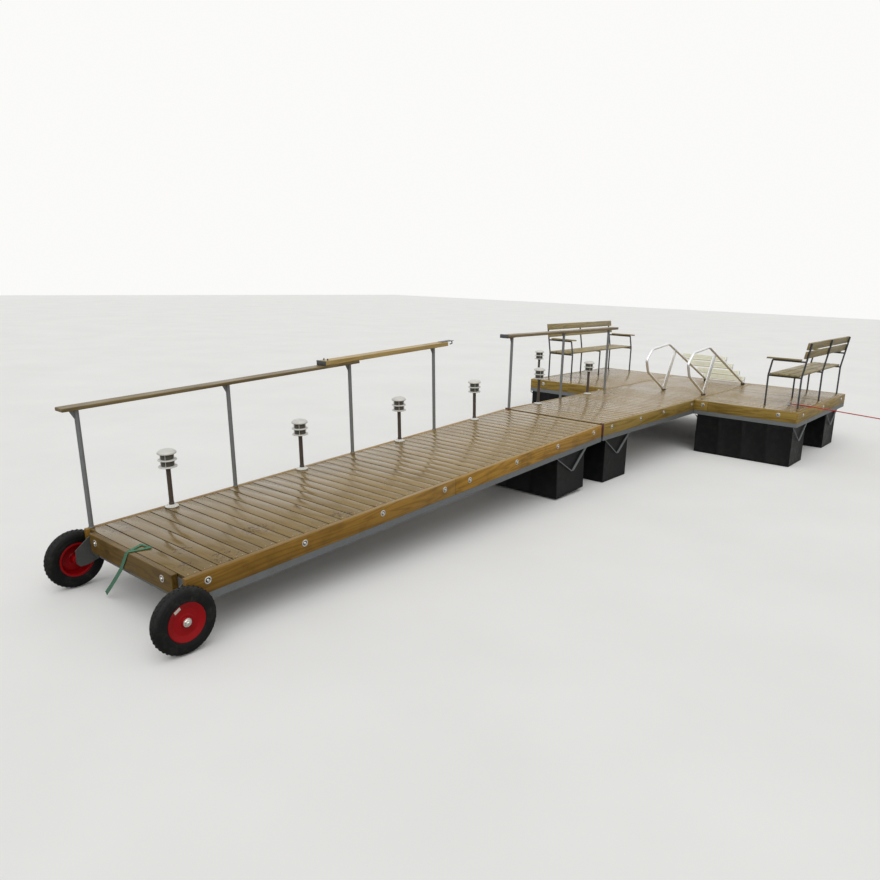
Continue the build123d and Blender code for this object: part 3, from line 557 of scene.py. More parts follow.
def deck_boards(name, start, end, y0, y1, seed):
    """Boards laid across, each with its own small play, and two screws at each end."""
    sizes = bpy.context.scene.jetty_sizes
    play = random.Random(seed)
    pitch, half_gap = sizes.board_pitch, sizes.board_gap / 2
    low, top = DECK - sizes.board_thick, DECK - 0.0006
    screw_inset = 0.024
    narrowest = 0.02
    count = int((end - start) / pitch + 0.001)
    model = timber("board", (half_gap, y0, low), (pitch - half_gap, y1, top), sizes.edge_round)
    places = [at(start + index * pitch + play.uniform(-0.0008, 0.0008), play.uniform(-0.001, 0.001),
                 -play.uniform(0, 0.001)) for index in range(count)]
    boards = repeat(model, places)
    last = start + count * pitch
    if end - last > narrowest:
        corners = (last + half_gap, y0, low), (end - half_gap, y1, top)
        boards.append(timber("last_board", *corners, sizes.edge_round))
    deck = join(name, boards)
    head = [(0.0042, -0.004), (0.0042, -0.0005), (0.0034, -0.0001), (0.0016, -0.0001), (0.0014, -0.0016)]
    screw = turned("screw", [(radius, DECK + height) for radius, height in head], 10)
    places = [at(start + (index + share) * pitch, y + play.uniform(-0.003, 0.003))
              for index in range(count) for y in (y0 + screw_inset, y1 - screw_inset) for share in (0.3, 0.7)]
    return deck, join(name + "_screws", repeat(screw, places))


class JETTY_OT_stage(bpy.types.Operator):
    """Pale floor, soft light and the camera"""

    bl_idname = "jetty.stage"
    bl_label = "Stage"

    def execute(self, context):
        self.floor()
        self.sky(context)
        for name, power, spread, lean in (
                ("high_sky", 1.25, 1.2, (0.25, -0.45, 0.0)), ("shore_sky", 0.45, 0.9, (1.0, 0.0, -0.75))):
            lamp = bpy.data.lights.new(name, "SUN")
            lamp.energy = power
            lamp.angle = spread
            self.hang(context, name, lamp, (0.0, 0.0, 6.0), lean)
        camera = bpy.data.cameras.new("camera")
        camera.sensor_width = 36.0
        camera.lens = CAMERA_LENS
        camera.clip_end = 500.0
        lean = [math.radians(angle) for angle in CAMERA_TURN]
        context.scene.camera = self.hang(context, "camera", camera, CAMERA_PLACE, lean)
        context.scene.view_settings.view_transform = "Standard"
        return {"FINISHED"}

    def hang(self, context, name, data, place, lean):
        """Put a lamp or the camera in its place."""
        holder = bpy.data.objects.new(name, data)
        holder.location = place
        holder.rotation_euler = lean
        context.scene.collection.objects.link(holder)
        return holder

    def floor(self):
        """Floor that looks pale and throws little light back up."""
        clear_selection()
        bpy.ops.mesh.primitive_plane_add(size=120, location=(0, 0, -0.001))
        floor = settle("floor")
        material, tree, shader = fresh_material("pale_floor")
        path = node_in(tree, "ShaderNodeLightPath").outputs["Is Camera Ray"]
        mottle = stepped(tree, noise(tree, level_coordinates(tree), 0.6, 3), 0.3, 0.7)
        seen = mix(tree, mottle, (0.8, 0.8, 0.79, 1), (0.84, 0.84, 0.83, 1))
        feed(tree, shader.inputs["Base Color"], mix(tree, path, (0.34, 0.34, 0.33, 1), seen))
        shader.inputs["Roughness"].default_value = 0.9
        floor.data.materials.append(material)

    def sky(self, context):
        """Plain overcast light, seen as a pale background."""
        world = bpy.data.worlds.new("overcast")
        context.scene.world = world
        world.use_nodes = True
        tree = world.node_tree
        tree.nodes.clear()
        rays = node_in(tree, "ShaderNodeLightPath").outputs
        plain = maths(tree, "MAXIMUM", rays["Is Glossy Ray"], rays["Is Transmission Ray"])
        plain = maths(tree, "MAXIMUM", rays["Is Camera Ray"], plain)
        light = node_in(tree, "ShaderNodeBackground", {"Color": (0.98, 0.975, 0.955, 1), "Strength": 0.5})
        seen = node_in(tree, "ShaderNodeBackground", {"Color": (0.965, 0.96, 0.945, 1), "Strength": 1.0})
        mixed = node_in(tree, "ShaderNodeMixShader", {0: plain, 1: light.outputs[0], 2: seen.outputs[0]})
        node_in(tree, "ShaderNodeOutputWorld", {"Surface": mixed.outputs[0]})


class JETTY_OT_decks(bpy.types.Operator):
    """Boards and screws of the gangway, the walkway and the two arms"""

    bl_idname = "jetty.decks"
    bl_label = "Decks"

    def execute(self, context):
        colours = context.scene.jetty_colours
        wood = (colours.deck_light, colours.deck_dark, "Y")
        wet = {"gloss": (0.14, 0.3), "figure": 0.35, "film": (1.0, 0.84, 0.6)}
        calm = {"dirt": 0.15, "seam_shade": 0.5, "relief": 0.0004}
        litter = [(SHORE + x, y, reach) for x, y, reach in LITTER]
        sloped = timber_finish("deck_wood_gangway", *wood, True, SHORE, dirt=0.3, litter=litter, shade_and_soak=0.45,
                               relief=0.0006, **wet)
        flat = timber_finish("deck_wood_walkway", *wood, False, WALKWAY, **wet, **calm)
        arm_wood = timber_finish("deck_wood_arms", *wood, False, HEAD + PLANK, **wet, **calm)
        steel = metal_finish("screw_steel", (0.42, 0.41, 0.38), 0.8, (0.35, 0.55))
        inside = INNER - 0.001
        boards, screws = deck_boards("gangway_boards", SHORE, GANGWAY_END, -inside, inside, 3)
        on_gangway(boards, "deck_wood", sloped, "gangway_deck")
        on_gangway(screws, "galvanised", steel)
        boards, screws = deck_boards("walkway_boards", WALKWAY, LAKE - PLANK, -inside, inside, 5)
        on_platform(boards, "deck_wood", flat, "walkway_deck")
        on_platform(screws, "galvanised", steel)
        arms = []
        arm_screws = []
        for side, seed in ((1, 11), (-1, 17)):
            y0, y1 = sorted((side * (HALF + 0.001), side * (ARM_END - PLANK - 0.001)))
            boards, screws = deck_boards("arm", HEAD + PLANK, LAKE - PLANK, y0, y1, seed)
            arms.append(boards)
            arm_screws.append(screws)
        on_platform(join("arm_boards", arms), "deck_wood", arm_wood, "arm_decks")
        on_platform(join("arm_screws", arm_screws), "galvanised", steel)
        return {"FINISHED"}


class JETTY_OT_edge_planks(bpy.types.Operator):
    """Edge planks with their bolts, the end board and the buffer blocks"""

    bl_idname = "jetty.edge_planks"
    bl_label = "Edge planks"

    def execute(self, context):
        colours = context.scene.jetty_colours
        oiled = (1.0, 0.8, 0.48)
        plain = {"gloss": (0.34, 0.55), "dirt": 0.4, "weathered": colours.deck_light, "film": oiled}
        olive = (colours.platform_light, colours.platform_dark)
        sloped = timber_finish("edge_wood_gangway", colours.edge_light, colours.edge_dark, "X", True,
                               gloss=(0.3, 0.5), dirt=0.7, weathered=(0.34, 0.205, 0.048),
                               film=oiled, shade_and_soak=0.62)
        flat = timber_finish("edge_wood_platform", *olive, "X", **plain)
        cross = timber_finish("edge_wood_across", *olive, "Y", **plain)
        board = timber_finish("end_board_wood", (0.135, 0.078, 0.01), (0.066, 0.033, 0.004), "Y", True,
                              gloss=(0.34, 0.55), dirt=0.8, film=oiled)
        joint = SHORE + 2.749
        gangway = self.both_sides("gangway_planks", (SHORE - 0.022, joint - SLIT, INNER, HALF),
                                  (joint + SLIT, GANGWAY_END, INNER, HALF))
        on_gangway(gangway, "edge_wood", sloped, "gangway_edge_planks")
        walkway = self.both_sides("walkway_planks", (WALKWAY, HEAD - SLIT, INNER, HALF),
                                  (HEAD + SLIT, LAKE, INNER, HALF))
        on_platform(walkway, "edge_wood", flat, "walkway_edge_planks")
        inside = INNER - 0.002
        on_platform(self.plank("lake_end_plank", LAKE - PLANK, LAKE, -inside, inside), "edge_wood", cross)
        end = self.plank("shore_end_board", SHORE - PLANK, SHORE, -0.582, 0.582)
        on_gangway(end, "edge_wood", board, "gangway_end_board")
        split = HALF + 0.203
        rows = [(x, x + PLANK, *run) for x in (HEAD, LAKE - PLANK)
                for run in ((HALF, split - SLIT), (split + SLIT, ARM_END))]
        across = self.both_sides("arm_cross_planks", *rows)
        on_platform(across, "edge_wood", cross, "arm_edge_planks")
        along = self.both_sides("arm_side_planks", (HEAD + PLANK + 0.002, LAKE - PLANK - 0.002,
                                                    ARM_END - PLANK, ARM_END))
        on_platform(along, "edge_wood", flat)
        self.bolts()
        blocks = []
        for side in (-1, 1):
            y0, y1 = sorted((side * INNER, side * HALF))
            corners = (HINGE.x + 0.001, y0, PLANK_LOW), (WALKWAY, y1, DECK + 0.01)
            blocks.append(timber("block", *corners, 0.002))
        red = timber_finish("buffer_wood", (0.16, 0.045, 0.03), (0.06, 0.02, 0.015), "Z")
        on_platform(join("buffer_blocks", blocks), "buffer", red, "hinge_buffers")
        return {"FINISHED"}

    def both_sides(self, name, *rows):
        """The same planks on both sides, each row with two places along the jetty and two across."""
        planks = []
        for side in (-1, 1):
            for x0, x1, near, far in rows:
                y0, y1 = sorted((side * near, side * far))
                planks.append(self.plank("plank", x0, x1, y0, y1))
        return join(name, planks)

    def plank(self, name, x0, x1, y0, y1):
        """Edge plank on its edge, its top level with the deck."""
        return timber(name, (x0, y0, PLANK_LOW), (x1, y1, DECK), 0.005)

    def bolts(self):
        """Bolts with washers, each over a dark disc of painted shadow, in the outer faces of the planks."""
        z = DECK - 0.058
        gangway = []
        platform = []
        for side in (-1, 1):
            outwards = turn(-90 * side, "X")
            for x in (0.137, 0.965, 1.793, 2.591, 2.958, 3.732, 4.519, 5.313):
                gangway.append(at(SHORE + x, side * HALF, z) @ outwards)
            for x in (0.201, 0.995, 1.693, 2.66):
                platform.append(at(WALKWAY + x, side * HALF, z) @ outwards)
            for x in (0.26, 1.31, 2.37):
                platform.append(at(HEAD + x, side * ARM_END, z) @ outwards)
            for y in (0.849, 1.906):
                platform.append(at(HEAD, side * y, z) @ turn(-90, "Y"))
                platform.append(at(LAKE, side * y, z) @ turn(90, "Y"))
        for y in (0.501, -0.455):
            gangway.append(at(SHORE - PLANK, y, z - 0.002) @ turn(-90, "Y"))
        for y in (0.45, -0.45):
            platform.append(at(LAKE, y, z) @ turn(90, "Y"))
        steel = metal_finish("bolt_steel", (0.72, 0.71, 0.68), 0.9, (0.22, 0.4), 0.1, 0.2)
        brown = (0.04, 0.03, 0.02)
        shade = coated_finish("bore_shade", (0.012, 0.01, 0.008), (0.5, 0.7), brown, 0.4, shine=0.3)
        # Dark disc under each washer: painted shadow in the washer's hole round the bolt.
        shadow_disc = turned("shadow_disc", [(0.0185, 0.0), (0.0185, 0.0012), (0.0175, 0.0016)], 20)
        for part, model, finish in (("shadow_discs", shadow_disc, shade), ("bolts", bolt_with_washer(), steel)):
            on_gangway(join("gangway_" + part, copies(model, gangway)), "galvanised", finish)
            on_platform(join("platform_" + part, repeat(model, platform)), "galvanised", finish)


class JETTY_OT_steelwork(bpy.types.Operator):
    """Galvanised frames, braces, hinge pins and wheel brackets"""

    bl_idname = "jetty.steelwork"
    bl_label = "Steelwork"

    def execute(self, context):
        zinc = metal_finish("galvanised_steel", context.scene.jetty_colours.zinc, 0.55, (0.42, 0.62))
        dress(["walkway_frame", "arm_frames", "gangway_frame", "walkway_float_braces", "arm_float_braces",
               "gangway_float_braces"], zinc)
        dull = metal_finish("bracket_zinc", (0.105, 0.108, 0.105), 0.5, (0.4, 0.62), 0.4, 0.5)
        dress(["wheel_brackets"], dull)
        dress(["hinge_pins"], metal_finish("pin_steel", (0.5, 0.51, 0.53), 0.9, (0.3, 0.5)))
        return {"FINISHED"}


class JETTY_OT_floats(bpy.types.Operator):
    """Moulded black float tanks"""

    bl_idname = "jetty.floats"
    bl_label = "Floats"

    def execute(self, context):
        black = coated_finish("float_plastic", (0.004, 0.0045, 0.0045), (0.35, 0.6), (0.03, 0.03, 0.024), 0.5,
                              shine=0.25)
        wide = 0.685
        gangway = self.tank(GANGWAY_END - 0.62, -wide, wide, TUBE_LOW - 0.497)
        walkway = self.tank(WALKWAY + 0.436, -wide, wide, 0.0)
        arms = []
        for x in (HEAD + 0.305, LAKE - 0.61):
            for side in (-1, 1):
                y0, y1 = sorted((side * (HALF + 0.055), side * (ARM_END - 0.035)))
                arms.append(self.tank(x, y0, y1, 0.0))
        on_gangway(join("gangway_tank", [gangway]), "float_black", black, "gangway_float")
        on_platform(join("walkway_tank", [walkway]), "float_black", black, "walkway_float")
        on_platform(join("arm_tanks", arms), "float_black", black, "arm_floats")
        return {"FINISHED"}

    def tank(self, x, y0, y1, low):
        """Tank with sunk panels between its ribs."""
        half = 0.3
        rib, sunk, moulding = 0.045, 0.016, 0.012
        box_shape((x - half, y0, low), (x + half, y1, TUBE_LOW))
        tank = settle("tank")
        bpy.ops.object.mode_set(mode="EDIT")
        for share in (0.25, 0.5, 0.75):
            bpy.ops.mesh.select_all(action="SELECT")
            bpy.ops.mesh.bisect(plane_co=(x, y0 + (y1 - y0) * share, low), plane_no=(0, 1, 0))
        bpy.ops.mesh.select_all(action="DESELECT")
        bpy.ops.object.mode_set(mode="OBJECT")
        for face in tank.data.polygons:
            face.select = abs(face.normal.x) > 0.9
        for edge in tank.data.edges:
            edge.select = False
        bpy.ops.object.mode_set(mode="EDIT")
        bpy.ops.mesh.select_mode(type="FACE")
        bpy.ops.mesh.inset(thickness=rib, depth=-sunk, use_individual=True)
        bpy.ops.mesh.select_mode(type="VERT")
        bpy.ops.object.mode_set(mode="OBJECT")
        bevel = tank.modifiers.new("moulded_edges", "BEVEL")
        bevel.width = moulding
        bevel.segments = 3
        bevel.limit_method = "ANGLE"
        pick(tank)
        bpy.ops.object.modifier_apply(modifier=bevel.name)
        return tank


class JETTY_OT_handrails(bpy.types.Operator):
    """Handrail posts, boards and their end fittings"""

    bl_idname = "jetty.handrails"
    bl_label = "Handrails"

    def execute(self, context):
        zinc = metal_finish("post_zinc", (0.2, 0.21, 0.215), 0.5, (0.4, 0.6), 0.3, 0.35)
        dark = metal_finish("fitting_steel", (0.09, 0.095, 0.1), 0.6, (0.4, 0.6), 0.2, 0.2)
        weathered = timber_finish("rail_wood_lower", (0.2, 0.142, 0.05), (0.1, 0.068, 0.02), "X", True)
        fresh = timber_finish("rail_wood_upper", (0.47, 0.335, 0.115), (0.28, 0.175, 0.045), "X", True)
        brown = timber_finish("rail_wood_walkway", (0.215, 0.155, 0.075), (0.115, 0.08, 0.034), "X")
        heights = ((0.028, LOWER_RAIL), (1.34, LOWER_RAIL), (2.778, LOWER_RAIL), (4.078, UPPER_RAIL))
        posts = [self.post(SHORE + x, tall) for x, tall in heights]
        on_gangway(join("gangway_posts", posts), "galvanised", zinc, "gangway_rail_posts")
        posts = [self.post(WALKWAY + x, LOWER_RAIL) for x in (0.028, 1.309, 2.634)]
        on_platform(join("walkway_posts", posts), "galvanised", zinc, "walkway_rail_posts")
        half = context.scene.jetty_sizes.rail_width / 2
        for name, place_on, x0, x1, low, thick, wood, node in (
                ("lower_rail", on_gangway, SHORE - 0.098, SHORE + 2.869, LOWER_RAIL, 0.028, weathered,
                 "gangway_rail_board"),
                ("upper_rail", on_gangway, SHORE + 2.418, SHORE + 4.275, UPPER_RAIL, 0.045, fresh,
                 "gangway_upper_rail"),
                ("walkway_rail", on_platform, WALKWAY - 0.146, WALKWAY + 2.84, LOWER_RAIL, 0.036, brown,
                 "walkway_rail_board")):
            place_on(self.plate(name, x0, x1, half, low, low + thick, 0.006, 3), "rail_wood", wood, node)
        fittings = []
        for name, x0, x1, wide, low, high, soft in (
                ("end_cap", 2.402, 2.42, 0.061, 0.0005, 0.047, 0.003),
                ("end_plate", 4.2, 4.4, 0.04, 0.0452, 0.05, 0.0015),
                ("end_lip", 4.2765, 4.2815, 0.04, 0.012, 0.046, 0.0015)):
            reach = SHORE + x0, SHORE + x1
            fittings.append(self.plate(name, *reach, wide, UPPER_RAIL + low, UPPER_RAIL + high, soft))
        y, top = RAIL_LINE, DECK + UPPER_RAIL
        line = [(4.36, 0.046), (4.408, 0.04), (4.412, 0.012), (4.375, 0.008)]
        fittings.append(bent_tube("end_hook", [(SHORE + x, y, top + z) for x, z in line], 0.0065, 0.012))
        for step in (-0.028, 0.028):
            stud_low, stud_high = top + 0.044, top + 0.062
            fittings.append(upright("stud", SHORE + 2.47, y + step, stud_low, stud_high, 0.007, 12, 0.001))
        on_gangway(join("upper_rail_fittings", fittings), "galvanised", dark)
        nose = WALKWAY - 0.16
        fittings = []
        for name, reach, low, high, soft in (
                ("rail_jaw", 0.055, -0.006, 0.0005, 0.001), ("rail_crown", 0.04, 0.0362, 0.04, 0.0015),
                ("rail_nose", 0.013, 0.0005, 0.0362, 0.003)):
            low, high = LOWER_RAIL + low, LOWER_RAIL + high
            fittings.append(self.plate(name, nose, nose + reach, 0.062, low, high, soft))
        on_platform(join("walkway_rail_fittings", fittings), "galvanised", dark)
        return {"FINISHED"}

    def plate(self, name, x0, x1, half, low, high, round_over, segments=2):
        """Board or plate centred on the handrail's line, at heights above the deck."""
        low_corner, high_corner = (x0, RAIL_LINE - half, DECK + low), (x1, RAIL_LINE + half, DECK + high)
        return timber(name, low_corner, high_corner, round_over, segments)

    def post(self, x, tall):
        """Tube on a small foot ring, with a head plate, gusset and screws."""
        radius = bpy.context.scene.jetty_sizes.post_radius
        y = RAIL_LINE
        top = DECK + tall
        pieces = [upright("tube", x, y, DECK, top - 0.005, radius, 28),
                  upright("foot_ring", x, y, DECK - 0.0002, DECK + 0.007, radius + 0.005, 28, 0.002),
                  self.plate("head_plate", x - 0.0585, x + 0.0315, 0.03, tall - 0.006, tall, 0.0012, 1)]
        box_shape((x - 0.055, y - 0.003, top - 0.076), (x - 0.005, y + 0.003, top - 0.006))
        gusset = settle("gusset")
        for corner in gusset.data.vertices:
            if corner.co.x < x - 0.04 and corner.co.z < top - 0.04:
                corner.co.x = x - 0.017
        pieces.append(gusset)
        for dx in (-0.045, 0.022):
            low, high = top - 0.0095, top - 0.005
            pieces.append(upright("screw_head", x + dx, y + 0.018, low, high, 0.006, 10, 0.001))
        return join("post", pieces)


class JETTY_OT_lamps(bpy.types.Operator):
    """Louvred bollard lights"""

    bl_idname = "jetty.lamps"
    bl_label = "Lights"

    def execute(self, context):
        white = coated_finish("lamp_white", (0.66, 0.66, 0.62), (0.3, 0.5), (0.36, 0.35, 0.29), 0.5)
        brown = coated_finish("lamp_post_paint", (0.06, 0.045, 0.035), (0.35, 0.55), (0.14, 0.12, 0.09), 0.4)
        glass = coated_finish("lamp_glass", (0.075, 0.072, 0.06), (0.12, 0.25), (0.13, 0.12, 0.1), 0.4)
        y = HALF - 0.065
        gangway = [at(SHORE + x, y, DECK) for x in (0.686, 2.071, 3.447, 4.79)]
        platform = [at(WALKWAY + x, y, DECK) for x in (0.659, 2.018)]
        platform.append(at(HEAD + 0.072, ARM_END - 0.098, DECK))
        parts = (("_lamp_whites", self.whites(), "lamp_white", white, "_lamp_heads"),
                 ("_lamp_tubes", self.tube(), "lamp_post", brown, "_lamp_posts"),
                 ("_lamp_glass", self.lens(), "lamp_white", glass, ""))
        for name, place_on, places in (("gangway", on_gangway, gangway),
                                       ("platform", on_platform, platform)):
            for part, model, slot, finish, node in parts:
                nodes = [name + node] if node else []
                place_on(join(name + part, copies(model, places)), slot, finish, *nodes)
        for _, model, _, _, _ in parts:
            bpy.data.objects.remove(model)
        return {"FINISHED"}

    def whites(self):
        """Base flange with screws, two louvre discs, slim stays and the domed cap."""
        base = [(0.056, 0.0), (0.057, 0.003), (0.055, 0.007), (0.028, 0.01), (0.024, 0.018), (0.02, 0.019)]
        cap = [(0.06, 0.455), (0.074, 0.457), (0.078, 0.461), (0.078, 0.467), (0.074, 0.474), (0.06, 0.485),
               (0.04, 0.492), (0.018, 0.496), (0.006, 0.4968)]
        louvre = [(0.05, 0.001), (0.073, 0.0), (0.077, 0.002), (0.078, 0.005), (0.075, 0.009), (0.056, 0.011),
                  (0.05, 0.011)]
        stay_circle, screw_circle = 0.056, 0.041
        pieces = [turned("base", base, 36)]
        for low in (0.343, 0.4):
            pieces.append(turned("louvre", [(radius, low + height) for radius, height in louvre], 40))
        pieces.append(turned("cap", cap, 40))
        for index in range(4):
            angle = math.radians(45 + 90 * index)
            x, y = math.cos(angle), math.sin(angle)
            pieces.append(upright("stay", stay_circle * x, stay_circle * y, 0.345, 0.462, 0.0022, 8))
            x, y = screw_circle * x, screw_circle * y
            pieces.append(upright("screw_head", x, y, 0.008, 0.0115, 0.0045, 10, 0.0008))
        return join("lamp_white_parts", pieces)

    def tube(self):
        """Slim post with a collar at its foot and head."""
        post = turned("tube", [(0.019, 0.015), (0.019, 0.325), (0.026, 0.331), (0.026, 0.344)], 28)
        collar = turned("collar", [(0.0225, 0.0185), (0.0225, 0.034), (0.0195, 0.037)], 28)
        return join("lamp_tube", [post, collar])

    def lens(self):
        """Clear cylinder behind the louvres."""
        return turned("lens", [(0.038, 0.34), (0.052, 0.347), (0.052, 0.458), (0.05, 0.46)], 32)


class JETTY_OT_benches(bpy.types.Operator):
    """Two benches with bent steel frames and timber boards"""

    bl_idname = "jetty.benches"
    bl_label = "Benches"

    seat = DECK + 0.444
    arm = DECK + 0.668
    top = DECK + 0.918
    back = ARM_END - 0.115
    lean = 0.08
    tube = 0.0125
    first = HEAD + 0.38
    spacing = 1.085
    overhang = 0.045

    def execute(self, context):
        colours = context.scene.jetty_colours
        paint = coated_finish("bench_paint", (0.045, 0.048, 0.055), (0.3, 0.5), (0.16, 0.13, 0.1), 0.3)
        tones = (colours.bench_light, colours.bench_dark)
        wood = timber_finish("bench_wood", *tones, "X", gloss=(0.35, 0.6))
        arm_wood = timber_finish("armrest_wood", *tones, "Y", gloss=(0.35, 0.6))
        places = [self.first + index * self.spacing for index in range(3)]
        x0, x1 = places[0] - self.overhang, places[-1] + self.overhang
        bolts = (places[0], (x0 + x1) / 2, places[-1])
        boards = {"seat": [], "back": [], "arm": []}
        for name, matrix in (("left", LEVEL), ("right", MIRROR)):
            steel = moved(join("steel", [self.side_frame(x, x != places[1]) for x in places]), matrix)
            steel = join(name + "_bench_steel", [steel])
            on_platform(steel, "bench_steel", paint, name + "_bench_frames")
            boards["seat"].append(moved(self.seat_boards(x0, x1, bolts), matrix))
            boards["back"].append(moved(self.back_boards(x0, x1, bolts), matrix))
            boards["arm"].append(moved(self.arm_boards(places), matrix))
        for part, finish, node in (("seat", wood, "bench_seats"), ("back", wood, "bench_backrests"),
                                   ("arm", arm_wood, "bench_armrests")):
            on_platform(join("bench_" + part + "_boards", boards[part]), "bench_wood", finish, node)
        return {"FINISHED"}

    def side_frame(self, x, with_arm):
        """Bent legs, seat rail, rear upright and armrest rail of one frame."""
        back, floor, seat, arm = self.back, DECK + 0.002, self.seat - self.tube - 0.0005, self.arm - 0.013
        front = back - (0.445 if with_arm else 0.375)
        rear = [(x, back, floor), (x, back, seat), (x, back + self.lean, self.top)]
        pieces = [bent_tube("upright", rear, self.tube, 0.05)]
        line = [(x, front, floor), (x, front, seat)]
        if with_arm:
            rear_arm = back + self.lean * (arm - seat) / (self.top - seat)
            line += [(x, front + 0.036, arm), (x, rear_arm, arm)]
        else:
            line.append((x, back, seat))
        pieces.append(bent_tube("front_leg", line, self.tube, 0.03))
        pieces.append(rod("seat_rail", (x, front, seat), (x, back, seat), self.tube, 16))
        for y in (front, back):
            pieces.append(upright("foot", x, y, DECK + 0.0005, DECK + 0.014, 0.0155, 16, 0.002))
        return join("side_frame", pieces)

    def seat_boards(self, x0, x1, bolts):
        """Three seat boards with coach bolt heads."""
        y0, y1 = self.back - 0.414, self.back - 0.026
        gap = 0.012
        wide = (y1 - y0 - 2 * gap) / 3
        low = self.seat
        pieces = []
        for index in range(3):
            start = y0 + index * (wide + gap)
            pieces.append(timber("seat_board", (x0, start, low), (x1, start + wide, low + 0.0245), 0.004))
            for x in bolts:
                y = start + wide / 2
                pieces.append(upright("dome", x, y, low + 0.022, low + 0.0262, 0.009, 12, 0.0015))
        return join("seat", pieces)

    def back_boards(self, x0, x1, bolts):
        """Two boards that lean with the uprights."""
        bend = self.seat - 0.013
        rise = self.top - bend
        leaning = at(0, self.back, bend) @ Matrix.Rotation(-math.atan2(self.lean, rise), 4, "X")
        pieces = []
        for index in range(2):
            high = math.hypot(rise, self.lean) - index * 0.124
            pieces.append(timber("back_board", (x0, -0.039, high - 0.1), (x1, -0.013, high), 0.004))
            for x in bolts:
                for step in (0.028, 0.072):
                    start, end = (x, -0.0385, high - step), (x, -0.0415, high - step)
                    pieces.append(rod("dome", start, end, 0.008, 12, 0.0012))
        return moved(join("back", pieces), leaning)

    def arm_boards(self, places):
        """Armrest boards on the outer frames."""
        low = self.arm
        y0, y1 = self.back - 0.489, self.back - 0.026
        pieces = []
        for x in (places[0], places[-1]):
            pieces.append(timber("armrest", (x - 0.03, y0, low), (x + 0.03, y1, low + 0.022), 0.005, 3))
            for y in (y0 + 0.1, y1 - 0.05):
                pieces.append(upright("dome", x, y, low + 0.02, low + 0.0236, 0.008, 12, 0.0012))
        return join("armrests", pieces)


class JETTY_OT_ladder(bpy.types.Operator):
    """Bathing ladder folded and parked on the head"""

    bl_idname = "jetty.ladder"
    bl_label = "Ladder"

    # Distances along the walkway and heights above the deck.
    foot_x = WALKWAY + 3.346
    bends = ((2.722, 0.335), (2.633, 0.528), (2.812, 0.678), (3.4, 0.731))
    end = (5.135, 0.015)
    side_lines = (0.03, -0.616)
    middle = -0.293

    def execute(self, context):
        tube_metal = metal_finish("ladder_aluminium", (0.78, 0.79, 0.8), 0.75, (0.25, 0.42), 0.1, 0.12)
        plastic = coated_finish("tread_plastic", (0.84, 0.84, 0.7), (0.35, 0.55), (0.52, 0.52, 0.26), 0.6)
        rubber = coated_finish("foot_rubber", (0.02, 0.02, 0.02), (0.5, 0.7), (0.06, 0.06, 0.055), 0.3)
        sides = []
        feet = []
        for y in self.side_lines:
            points = [(self.foot_x, y, DECK + 0.013)]
            points += [(WALKWAY + x, y, DECK + z) for x, z in self.bends + (self.end,)]
            sides.append(bent_tube("side_tube", points, 0.0195, 0.1))
            sides.append(self.flat_bar(y))
            feet.append(self.foot(self.foot_x, y, 0.026))
            feet.append(self.foot(WALKWAY + 5.107, y, 0.03))
        (x0, z0), (x1, z1) = self.bends[-1], self.end
        slope = Matrix.Rotation(math.atan2(z0 - z1, x1 - x0), 4, "Y")
        treads = []
        for share in (0.386, 0.575, 0.777, 0.95):
            place = at(WALKWAY + x0 + share * (x1 - x0), self.middle, DECK + z0 + share * (z1 - z0)) @ slope
            treads.append(moved(self.tread(), place))
            sides += [moved(self.fixing(y - self.middle), place) for y in self.side_lines]
        on_platform(join("ladder_sides", sides), "ladder_alu", tube_metal, "ladder_frame")
        on_platform(join("ladder_steps", treads), "tread", plastic, "ladder_treads")
        on_platform(join("ladder_rubbers", feet), "foot_rubber", rubber, "ladder_feet")
        return {"FINISHED"}

    def flat_bar(self, y):
        """Sloping flat stay between the foot and the long run of the tube."""
        foot = Vector((self.foot_x, y, DECK + 0.027))
        run = Vector((WALKWAY + 3.685, y, DECK + 0.645)) - foot
        pin_height = run.length - 0.045
        bar = timber("stay", (-0.051, -0.004, 0.012), (0.051, 0.004, run.length), 0.0015)
        pin = rod("stay_pin", (0, -0.01, pin_height), (0, 0.01, pin_height), 0.009, 14, 0.001)
        leaning = at(*foot) @ Matrix.Rotation(math.atan2(run.x, run.z), 4, "Y")
        return moved(join("stay", [bar, pin]), leaning)

    def foot(self, x, y, tall):
        """Flat rubber foot."""
        disc = [(0.031, 0.0004), (0.034, 0.004), (0.034, tall * 0.6), (0.028, tall * 0.85), (0.022, tall)]
        return moved(turned("foot", disc, 28), at(x, y, DECK))

    def fixing(self, y):
        """Saddle on a side tube and the ear that holds the tread to it."""
        outward = 1 if y > 0 else -1
        saddle = timber("saddle", (-0.013, y - 0.015, 0.0), (0.013, y + 0.015, 0.0238), 0.002, 1)
        y0, y1 = sorted((y + outward * 0.0325, y + outward * 0.036))
        ear = timber("ear", (-0.015, y0, -0.012), (0.015, y1, 0.088), 0.0012, 1)
        for corner in ear.data.vertices:
            if corner.co.z < 0.01:
                corner.co.x += 0.014
        return join("tread_fixing", [saddle, ear])

    def tread(self):
        """Moulded tread with ribs on the face that is stepped on."""
        half, lip, low = 0.354, 0.298, 0.024
        pieces = [timber("tread_body", (-0.01, -half, low), (0.014, half, low + 0.068), 0.006, 3),
                  timber("tread_lip", (-0.01, -lip, 0.002), (0.014, lip, low + 0.008), 0.006, 3)]
        half -= 0.02
        for index in range(6):
            z = low + 0.008 + index * 0.01
            pieces.append(timber("rib", (-0.0125, -half, z - 0.002), (-0.0095, half, z + 0.002), 0.0012, 1))
        return join("tread", pieces)


